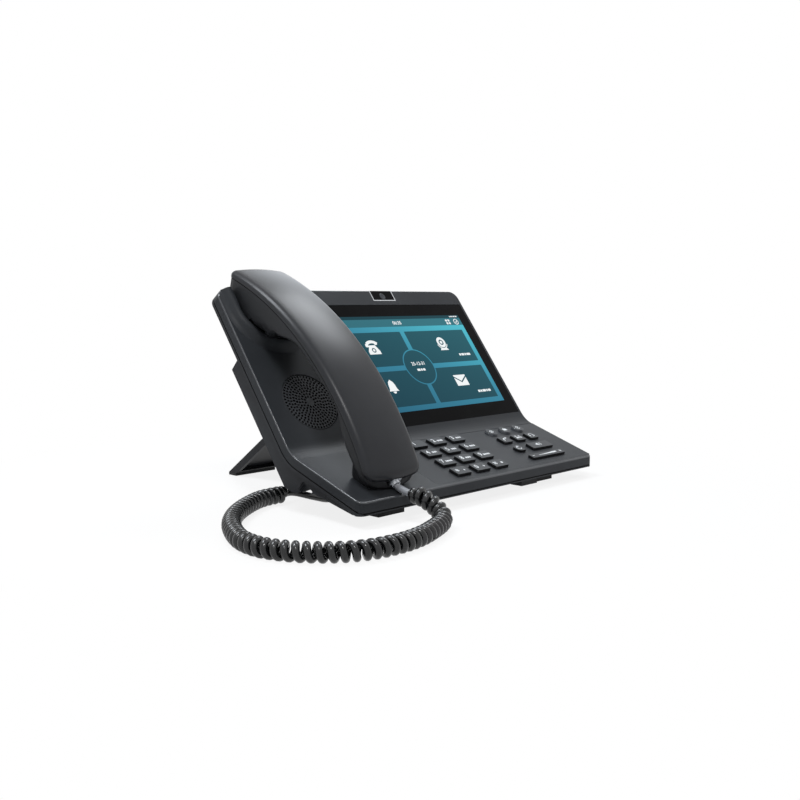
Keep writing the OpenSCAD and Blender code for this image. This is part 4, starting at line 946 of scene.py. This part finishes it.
dress(metal("cast steel, handset weight", "#6D7074", 0.5, 1, 0.02), "handset_weight")
print("housing made")


def clearPlastic(name, color):
    # injection-moulded polycarbonate: glossy and milky, the wires show through as faint stripes
    material, tree, place = newMaterial(name)
    wires = addNode(tree, "TexWave", {"Vector": place, "Scale": 1 / (6.67 * mm), "Distortion": 0.4})
    tint = addNode(tree, "ValToRGB", {"Fac": wires.outputs["Fac"], "steps": [(0.2, color), (0.9, "#D9DCE0")]})
    return shaded(material, {"Base Color": tint, "Roughness": 0.12, "IOR": 1.58})


plugPlastic = clearPlastic("moulded polycarbonate, clear plug", "#A9ADB3")
softCopy("handset_plug", plugPlastic, "plug_plastic", 0.35)
softCopy("base_plug", plugPlastic, "plug_plastic", 0.35)
softCopy("hook_plunger", blackPlastic, "key_plastic", 0.6, 3)
print("plugs made")


# speaker grille
grille = {
    "v": 37,
    "radius": 22,
    "sunk": 0.3,
    "thick": 1.4,
    "hub": 1.9,
    "pitch": 2.28,
    "rings": 8,
    "slotLong": 1.78,
    "slotWide": 1.62,
    "slotEvery": 2.5,
    "turn": 0.37,  # how far each ring is turned against the one before
    "groove": 0.55,
    "wall": 1.2,
    "plastic": ("moulded ABS, satin, grille", "#303235", "#37393C", 0.42, 0.5, 0.01, 0.14),
}


def grilleCell(ring, count):
    # one slot with the strip of plate round it; eight corners in the slot and eight in the strip
    r = grille["hub"] + ring * grille["pitch"]
    step = pi / count
    half = grille["pitch"] / 2 + 0.05
    bpy.ops.mesh.primitive_circle_add(vertices=8, radius=1)
    cell = added("grille_cell")
    corners = [(-0.8, -0.7), (0, -1), (0.8, -0.7), (1, 0), (0.8, 0.7), (0, 1), (-0.8, 0.7), (-1, 0)]
    frameSpots = [(-1, -1), (0, -1), (1, -1), (1, 0), (1, 1), (0, 1), (-1, 1), (-1, 0)]
    for vert, (u, w) in zip(cell.data.vertices, corners):
        vert.co = (r + u * grille["slotLong"] / 2, w * grille["slotWide"] / 2, 0)
    editAll(cell, "EDGE")
    bpy.ops.mesh.extrude_edges_move()
    leaveEdit()
    for vert, (u, w) in zip(cell.data.vertices[8:16], frameSpots):
        vert.co = ((r + u * half) * cos(w * step), (r + u * half) * sin(w * step), 0)
    selectBy(cell, "VERT", lambda place, normal: abs(place.x - r) < grille["slotLong"] / 2 + 0.01
             and abs(place.y) < grille["slotWide"] / 2 + 0.001)
    bpy.ops.mesh.select_mode(type="EDGE")
    bpy.ops.mesh.extrude_edges_move(TRANSFORM_OT_translate={"value": (0, 0, -grille["wall"])})
    leaveEdit()
    return cell


def speakerGrille(material):
    parts = []
    for ring in range(1, grille["rings"] + 1):
        count = round(2 * pi * (grille["hub"] + ring * grille["pitch"]) / grille["slotEvery"])
        cell = grilleCell(ring, count)
        for i in range(count):
            parts.append(copied(cell))
            parts[-1].data.transform(Matrix.Rotation(2 * pi * i / count + ring * grille["turn"], 4, "Z"))
        bpy.data.objects.remove(cell)
    plate = joined("speaker_grille_skin", parts)
    # the hub in the middle, and the rim with its rounded edge and groove
    inner = grille["hub"] + grille["pitch"] / 2
    outer = inner + grille["pitch"] * grille["rings"]
    bpy.ops.mesh.primitive_circle_add(vertices=12, radius=inner + 0.15, fill_type="NGON")
    hub = added("grille_hub")
    bpy.ops.mesh.primitive_circle_add(vertices=96, radius=outer)
    rim = added("grille_rim")
    radius = grille["radius"]
    lip = radius - grille["groove"]
    rims = [(outer, 0), (lip - 0.3, 0), (lip, -0.25), (radius - 0.25, -0.55), (radius, -0.55),
            (radius, -grille["thick"])]
    editAll(rim, "EDGE")
    growRing([(b[0] / a[0], b[1] - a[1]) for a, b in zip(rims, rims[1:])])
    leaveEdit()
    skin = smooth(cleanUp(joined("speaker_grille_skin", [plate, hub, rim]), 0.02))
    paint(skin, material, paintedShadeBlack)
    # the walls of the holes are painted black as shade
    paintFaces(skin, 1, lambda middle, normal: abs(normal.z) < 0.3 and middle.xy.length < radius - 1)
    return placed(moved(skin, cradleX, grille["v"], -grille["sunk"]), onFace)


settle(speakerGrille(mouldedPlastic(*grille["plastic"])), "base", "grille_plastic", "speaker_grille")
print("speaker grille made")


# display
screen = {
    "x": (-43.3, 111.8),
    "v": (20.6, 106.1),
    "tileX": ((-38.4, 31.6), (36.4, 106.9)),
    "tileV": ((25, 55.9), (60.3, 91.2)),
    "headerV": 96.1,
    "statusV": 103.2,
    "ring": (34, 58.1, 15.9, 1),  # middle x and v, radius, line width
    "bars": ("#286079", "#3986A0", "#54C4D4"),
    "tiles": ("#1A3F4D", "#22505C", "#2A626D"),
    "header": ("#306673", "#377581"),
    "status": ("#163842", "#1E4650"),
    "white": "#F2F6F7",
    "glow": 1,
    "along": (0.45, 0.55),  # the shares of the fade across the picture and up it
    "glassTop": -0.2,
    "layer": 0.02,
}


def litFilm(name, colors):
    # lit liquid crystal behind glass: even light with a soft fade across the picture, gloss from the glass
    material, tree, place = newMaterial(name)
    (x0, x1), (v0, v1), (side, up) = screen["x"], screen["v"], screen["along"]
    wide, high = (x1 - x0) * mm, (v1 - v0) * mm
    start = onFace @ Vector((x0, v0, 0))
    across = Vector((side / wide, up / high * cos(faceLean), up / high * sin(faceLean)))
    fade = addNode(tree, "VectorMath", {"operation": "DOT_PRODUCT", 0: place, 1: across}).outputs["Value"]
    shifted = addNode(tree, "Math", {"operation": "SUBTRACT", 0: fade, 1: across.dot(start)})
    steps = [(i / (len(colors) - 1), c) for i, c in enumerate(colors)]
    return shaded(material, {
        "Base Color": hexColor("#050506"),
        "Roughness": 0.06,
        "Specular IOR Level": 0.03,
        "Emission Color": addNode(tree, "ValToRGB", {"Fac": shifted, "steps": steps}),
        "Emission Strength": screen["glow"],
    })


def boxLine(x0, x1, y0, y1, radius=0, cuts=4):
    # an upright box's outline, its corners rounded
    if not radius:
        return [(x0, y0), (x1, y0), (x1, y1), (x0, y1)]
    (left, right), (low, high) = (x0 + radius, x1 - radius), (y0 + radius, y1 - radius)
    corners = ((right, high), (left, high), (left, low), (right, low))
    return [point for i, (x, y) in enumerate(corners)
            for point in arc(x, y, radius, 90 * i, 90 * (i + 1), cuts)]


def discLine(x, y, radius, sides):
    return arc(x, y, radius, 0, 360, sides)[:-1]


def bandLine(x, y, inner, outer, start, end, sides):
    # part of a ring, from one angle to another
    return arc(x, y, outer, start, end, sides) + arc(x, y, inner, end, start, sides)


def barLine(x0, y0, x1, y1, width):
    # a straight stroke between two points
    away = Vector((y0 - y1, x1 - x0)).normalized() * width / 2
    return [(x0 - away.x, y0 - away.y), (x1 - away.x, y1 - away.y), (x1 + away.x, y1 + away.y),
            (x0 + away.x, y0 + away.y)]


def inked(name, lines, thickness=0.01):
    # flat shapes of printed ink or lit film, joined into one piece
    return joined(name, [profileSolid(name, line, thickness) for line in lines])


def digits(text, size, x, y, thickness=0.01, heavy=0.02):
    # plain digits, cut from the text outline
    bpy.ops.object.text_add()
    written = added("digits")
    written.data.body = text
    written.data.size = size
    written.data.align_x = "CENTER"
    written.data.align_y = "CENTER"
    written.data.offset = heavy * size
    written.data.extrude = thickness / 2
    written.data.resolution_u = 3
    bpy.ops.object.convert(target="MESH")
    return moved(added("digits"), x, y, thickness / 2)


def onScreen(piece, layer, material):
    # lays a piece of film on the glass, in its layer of the picture
    moved(piece, 0, 0, screen["glassTop"] + screen["layer"] * (1 + layer))
    settle(paint(placed(piece, onFace), material), "base", "display_unit")


film = {name: litFilm("lit film, " + name, screen[name]) for name in ("bars", "tiles", "header", "status")}
film["white"] = litFilm("lit film, white", (screen["white"], screen["white"]))
bandsV = (screen["v"][0], screen["headerV"], screen["statusV"], screen["v"][1])
fields = {name: [(*screen["x"], low, high)] for name, low, high in zip(("bars", "header", "status"),
                                                                      bandsV, bandsV[1:])}
fields["tiles"] = [(*across, *up, 0.6) for across in screen["tileX"] for up in screen["tileV"]]
for name, outlines in fields.items():
    field = inked("screen_" + name, [boxLine(*outline) for outline in outlines])
    onScreen(field, int(name == "tiles"), film[name])
rx, rv, rr, rw = screen["ring"]
onScreen(inked("screen_ring", [discLine(rx, rv, rr + rw / 2, 64)]), 2, film["bars"])
onScreen(inked("screen_dial", [discLine(rx, rv, rr - rw / 2, 64)]), 3, film["tiles"])


def at(x, y, lines, size=1, turn=0):
    # a symbol drawn at the origin, scaled, turned by degrees and moved to its place
    c, s = size * cos(radians(turn)), size * sin(radians(turn))
    return [[(x + p * c - q * s, y + p * s + q * c) for p, q in line] for line in lines]


# a desk telephone: handset over a body with a round dial
phoneIcon = [bandLine(1.2, -3.6, 7.6, 10.2, 52, 128, 14), boxLine(-6.2, -2.9, 0.6, 3.6, 0.9),
             boxLine(3.6, 6.6, 2.4, 5.2, 0.9),
             [(-5.6, -6), (6.4, -6), (6.4, -3.2), (3.6, 2.2), (-2.4, 2.2), (-5.6, -3.2)]]
# a camera ball on its foot
cameraIcon = [bandLine(0, 1.6, 2.6, 4.9, 0, 360, 36), discLine(0, 1.6, 1.5, 20),
              [(-5, -6), (5, -6), (3.4, -3.9), (-3.4, -3.9)], bandLine(0, 1.6, 5.5, 6.3, 200, 340, 18)]
# a bell with its clapper
bellIcon = [[(-5, -4.2), (5, -4.2), (3.8, -2.2), (3.4, 1.2), (2.4, 3.8), (0.9, 5), (0, 5.9), (-0.9, 5),
             (-2.4, 3.8), (-3.4, 1.2), (-3.8, -2.2)], arc(0, -4.6, 1.7, 180, 360, 10)]
# an envelope: the body below a gap, and the flap
letterIcon = [[(-7, -5), (7, -5), (7, 2.6), (0, -2.2), (-7, 2.6)],
              [(-7, 4), (0, -0.8), (7, 4), (7, 5), (-7, 5)]]


def wordBars(x, y, widths, height, gap=0.6):
    # stands for a word: a row of small plain blocks
    lines, start = [], x - (sum(widths) + gap * (len(widths) - 1)) / 2
    for width in widths:
        lines.append(boxLine(start, start + width, y - height / 2, y + height / 2, height * 0.2, 2))
        start += width + gap
    return lines


marks = at(-6, 77.6, phoneIcon) + at(73, 78, cameraIcon) + at(-5.8, 43, bellIcon) + at(72.9, 43, letterIcon)
marks += wordBars(93.9, 67, (2.2, 3.4, 1.8, 4.6), 2.1) + wordBars(93.9, 31.6, (2.6, 1.8, 4.2, 1.6, 3.2), 2.1)
marks += wordBars(rx, 55.4, (3.4, 1.8, 2.6), 2) + wordBars(104.6, 104.7, (1.1, 1.7, 0.8, 1.7, 2.2), 1.2, 0.5)
for sx, sy in ((-1, -1), (-1, 1), (1, -1), (1, 1)):
    marks += at(94.9 + sx * 1.5, 99.4 + sy * 1.4, [boxLine(-1.1, 1.1, -1, 1, 0.4, 2)])
marks.append(bandLine(105.1, 99.4, 2.2, 2.9, 0, 360, 28))
marks += [barLine(104, 99.3, 105, 98.4, 0.7), barLine(104.8, 98.4, 106.6, 100.6, 0.7)]
white = joined("screen_marks", [inked("screen_marks", marks), digits("06:35", 4.4, 33.9, 99.5),
                                digits("25-12-31", 4.2, rx, 61)])
onScreen(white, 4, film["white"])
dark = [bandLine(-5.6, 75.2, 1.2, 2.1, 0, 360, 20), bandLine(73, 79.6, 1.7, 2.4, 0, 360, 20)]
onScreen(inked("screen_marks_dark", dark), 5, film["tiles"])


def touchGlass(name, color, rough):
    # toughened glass, black ink behind it: deep and glossy, with the faintest smears of fingers
    return patterned(name, (33.3, 4, 0.5, 1.5), {
        "Base Color": [(0.3, color), (0.9, "#131314")],
        "Roughness": (rough, rough + 0.06, 0.4, 0.8),
        "Specular IOR Level": 0.03,
    })


blackGlass = touchGlass("toughened glass, black ink behind", "#0B0B0C", 0.06)
softCopy("touch_glass", blackGlass, "display_glass", 0.15)
softCopy("camera_window", touchGlass("acrylic window, smoked", "#070708", 0.05), "camera_glass", 0.12)
softCopy("camera_bezel", chrome, "bezel_chrome", 0.1)
dress(touchGlass("glass and foil, display module", "#141517", 0.2), "lcd_module")

# the lens shows through the camera window: a low ring that steps inwards, closed by a flat front
lens = {"x": 33.5, "v": 125.5, "radius": 2.9, "sunk": 0.29}
bpy.ops.mesh.primitive_circle_add(vertices=32, radius=lens["radius"])
lensRing = added("camera_lens_ring")
editAll(lensRing, "EDGE")
growRing(((0.94, 0.05), (0.8, 0), (0.72, -0.04)))
bpy.ops.mesh.edge_face_add()
leaveEdit()
roundEdges(lensRing, 0.03, 2, 20)
moved(smooth(lensRing, 60), lens["x"], lens["v"], -lens["sunk"])
ringMetal = metal("anodised aluminium, lens ring", "#3A3C40", 0.3, 0.6, 0.002)
settle(paint(placed(lensRing, onFace), ringMetal), "base", "module_black")
print("display made")


# keys
keyLook = {
    "top": ("moulded ABS, satin key top", "#333538", "#3B3D40", 0.42, 0.35, 0.01, 0.14),
    # the walls' near-black is painted shade, darker than the top
    "side": "#101011",
    "print": "#E3E6E8",
    "rise": 2,
    "edge": 0.28,
    "inkThick": 0.02,
    "columns": (-20.7, -0.2, 20.3),
    "rows": (11.85, 25.95, 40.05, 54.15),
    "digitShift": (-3.2, 0.5),
    "blockShift": (2.7, -0.2),
    "digitSize": 6,
}


def glossyPlastic(name, color, roughness, specular):
    # ABS from a polished mould: a clear gloss, broken only by the faint ripple of the filling plastic
    return patterned(name, (5.56, 2), {
        "Base Color": [(0.3, color), (0.9, "#1C1C1E")],
        "Roughness": (roughness - 0.04, roughness + 0.06),
        "Specular IOR Level": specular,
    }, (0.1, 0.02))


def padPrint(name, color, shade):
    # tampon-printed ink: matt, its cover a little uneven at the edge of each stroke
    return patterned(name, (0.3846, 2), {
        "Base Color": [(0.25, shade), (0.5, color)],
        "Roughness": 0.55,
        "Specular IOR Level": 0.16,
    })


capTop = mouldedPlastic(*keyLook["top"])
capWallShade = glossyPlastic("moulded ABS, glossy, black as painted shade", keyLook["side"], 0.18, 0.4)
capInk = padPrint("white pad-printed ink", keyLook["print"], "#B9BDC0")
deckUp = (onDeck.to_3x3() @ Vector((0, 0, 1))).normalized()


def cap(node, wall=capWallShade):
    # a key: walls painted dark as shade unless they are chrome, and a satin top face
    piece = softCopy(node, wall, "key_plastic", keyLook["edge"], 3)
    piece.data.materials.append(capTop)
    paintFaces(piece, 1, lambda middle, normal: normal.dot(deckUp) > 0.9
               and (toDeck @ middle).z > keyLook["rise"] - 0.15)


def printed(node, lines, texts=()):
    # the marks on a key's top face
    thick = keyLook["inkThick"]
    parts = [inked("print", lines, thick)] if lines else []
    parts += [digits(text, keyLook["digitSize"], x, y, thick, 0.015) for text, x, y in texts]
    piece = moved(joined(node + "_print", parts), 0, 0, keyLook["rise"] + 0.004)
    body = "rocker" if node == "volume_rocker" else node + "_cap"
    settle(paint(placed(piece, onDeck), capInk), body, "key_plastic")


dialKeys = (("star", "0", "hash"), ("7", "8", "9"), ("4", "5", "6"), ("1", "2", "3"))
blockWidths = {"2": (1.7, 1.5, 1.6), "3": (1.6, 1.5, 1.4), "4": (1.7, 1.7, 0.6), "5": (1.2, 1.6, 1.4),
               "6": (1.9, 1.6, 1.7), "7": (1.3, 1.5, 1.3, 1.3), "8": (1.4, 1.6, 1.6), "9": (2, 1.3, 1.3, 1.2)}
(dx, dv), (bx, bv) = keyLook["digitShift"], keyLook["blockShift"]
for v, names in zip(keyLook["rows"], dialKeys):
    for x, name in zip(keyLook["columns"], names):
        mx, mv = x + dx, v + dv
        if name == "star":
            marks = at(x, v, [discLine(3.2, -0.4, 0.75, 12)])
            for turn in (30, 90, 150):
                marks += at(mx, mv, [barLine(-1.7, 0, 1.7, 0, 0.7)], turn=turn)
        elif name == "hash":
            marks = [barLine(mx + a - 0.3, mv - 1.9, mx + a + 0.3, mv + 1.9, 0.6) for a in (-0.8, 0.8)]
            marks += [barLine(mx - 1.8, mv + a, mx + 1.8, mv + a, 0.6) for a in (-0.8, 0.8)]
            marks += at(x, v, [boxLine(2.6, 4.6, -1.1, 0.9, 0.4)])
        elif name == "0":
            marks = at(x, v, [barLine(2.8, -0.2, 5, -0.2, 0.5), barLine(3.9, -1.3, 3.9, 0.9, 0.5)])
        else:
            marks = wordBars(x + bx, v + bv, blockWidths[name], 1.9, 0.35) if name in blockWidths else []
        cap("key_" + name)
        printed("key_" + name, marks, [(name, mx, mv)] if name.isdigit() else ())
print("dial keys made")

# the right block: symbols of plain strokes
left, middle, right = 63.3, 79.8, 96.3
smallHandset = [bandLine(0, -2.2, 3, 4.1, 40, 140, 10), boxLine(-3, -1.3, -0.9, 1, 0.4, 2),
                boxLine(1.3, 3, -0.9, 1, 0.4, 2)]
symbols = {
    "round_key_left": [bandLine(left, 54.9, 1.2, 1.8, 0, 360, 20), barLine(61.6, 53.1, 65, 56.7, 0.6)],
    "round_key_middle": [boxLine(77.7, 81.9, 53.4, 56.3, 0.4), barLine(middle, 57.4, middle, 56, 0.6)],
    "round_key_right": [bandLine(right, 54.9, 1.5, 2.1, 20, 340, 20), discLine(right, 54.9, 0.6, 12)],
    "function_key_left": at(63.2, 41, smallHandset, 0.85, 35) + [barLine(64.6, 43, 66.9, 43, 0.5)]
    + [barLine(66.9, 43, 66, y, 0.45) for y in (43.9, 42.1)],
    "function_key_middle": [discLine(78.4, 42.7, 0.95, 14), bandLine(78.4, 39.2, 0, 2, 0, 180, 12),
                            discLine(81.7, 42.1, 0.8, 14), bandLine(81.7, 39.4, 0, 1.6, 0, 120, 10)],
    "function_key_right": [bandLine(96.2, 40.7, 2, 2.6, 0, 180, 16), barLine(98.3, 39, 96.4, 38.2, 0.4)]
    + [boxLine(x, x + 1.2, 39, 41.2, 0.3, 2) for x in (93.5, 97.7)],
    "half_key": [bandLine(62.4, 26.2, 1.8, 2.35, 60, 350, 20), [(62.2, 29.5), (64.4, 28.3), (62.2, 27.1)]],
    "speaker_key": [[(84, 25.6), (85.2, 25.6), (87, 24.2), (87, 28.8), (85.2, 27.4), (84, 27.4)]]
    + [bandLine(86.6, 26.5, r, r + 0.5, -38, 38, 10) for r in (1.7, 2.9)],
    "volume_rocker": [barLine(61.7, 12.2, 64.3, 12.2, 0.6), barLine(95.4, 12.3, 98, 12.3, 0.6),
                      barLine(96.7, 11, 96.7, 13.6, 0.6),
                      [(68.6, 11.5), (91.3, 11.5), (91.3, 13.4), (68.6, 11.8)]],
}
for side in ("left", "middle", "right"):
    cap("round_key_" + side, chrome)
    cap("function_key_" + side)
for node, lines in symbols.items():
    if node in ("half_key", "speaker_key", "volume_rocker"):
        cap(node)
    printed(node, lines)
print("keys made")


# room
room = {
    "floorSize": 8,
    "floorColor": "#F2F2F2",
    "ambient": 0.25,
    "fadeFrom": 0.15,  # the floor's shadow fades into plain white between these distances
    "fadeTo": 0.33,
    "shadow": 0.84,
}


def showsBackground(tree):
    # 1 for the rays that see the white background: straight from the camera, off gloss and through glass
    path = addNode(tree, "LightPath")
    seen = path.outputs["Is Camera Ray"]
    for kind in ("Is Glossy Ray", "Is Transmission Ray"):
        seen = addNode(tree, "Math", {"operation": "MAXIMUM", 0: seen, 1: path.outputs[kind]})
    return seen


def softbox(name, place, aim, width, height, watts, color=(1, 1, 1)):
    # a large even light, in metres
    lamp = bpy.data.lights.new(name, "AREA")
    lamp.shape = "RECTANGLE"
    lamp.size, lamp.size_y = width, height
    lamp.energy = watts
    lamp.color = color
    light = newObject(name, lamp)
    light.location = place
    light.rotation_euler = (Vector(aim) - Vector(place)).to_track_quat("-Z", "Y").to_euler()


bpy.ops.mesh.primitive_plane_add(size=room["floorSize"])
floor = added("floor")
backdrop = bpy.data.materials.new("backdrop paper, matt white")
tree = emptyTree(backdrop)
paper = addNode(tree, "BsdfDiffuse", {"Color": hexColor(room["floorColor"])})
glow = addNode(tree, "Emission", {"Color": (1, 1, 1, 1), "Strength": 1})
place = addNode(tree, "NewGeometry").outputs["Position"]
reach = addNode(tree, "VectorMath", {"operation": "LENGTH", 0: place}).outputs["Value"]
fade = addNode(tree, "MapRange", {"Value": reach, "From Min": room["fadeFrom"], "From Max": room["fadeTo"],
                                  "To Min": room["shadow"], "To Max": 1})
seen = addNode(tree, "Math", {"operation": "MULTIPLY", 0: fade, 1: showsBackground(tree)})
addNode(tree, "OutputMaterial", {"Surface": addNode(tree, "MixShader", {"Fac": seen, 1: paper, 2: glow})})
paint(floor, backdrop)

world = bpy.data.worlds.new("studio")
bpy.context.scene.world = world
tree = emptyTree(world)
around, white = (addNode(tree, "Background", {"Color": (1, 1, 1, 1), "Strength": strength})
                 for strength in (room["ambient"], 1))
sky = addNode(tree, "MixShader", {"Fac": showsBackground(tree), 1: around, 2: white})
addNode(tree, "OutputWorld", {"Surface": sky})

softbox("side light, right and above", (0.72, 0.2, 1.08), (0, 0, 0.05), 0.5, 0.32, 4.8, (0.92, 0.96, 1))
softbox("rim light, right and behind", (0.8, 0.66, 0.72), (-0.05, 0.05, 0.08), 0.5, 0.6, 1.5, (0.85, 0.92, 1))
softbox("top light", (-0.42, 0.24, 1.15), (0, 0, 0.05), 0.24, 0.5, 9, (0.9, 0.95, 1))
softbox("strip light, front left", (-0.5, -0.66, 1.0), (-0.05, 0, 0.05), 0.3, 0.06, 4.4)
print("room lit")
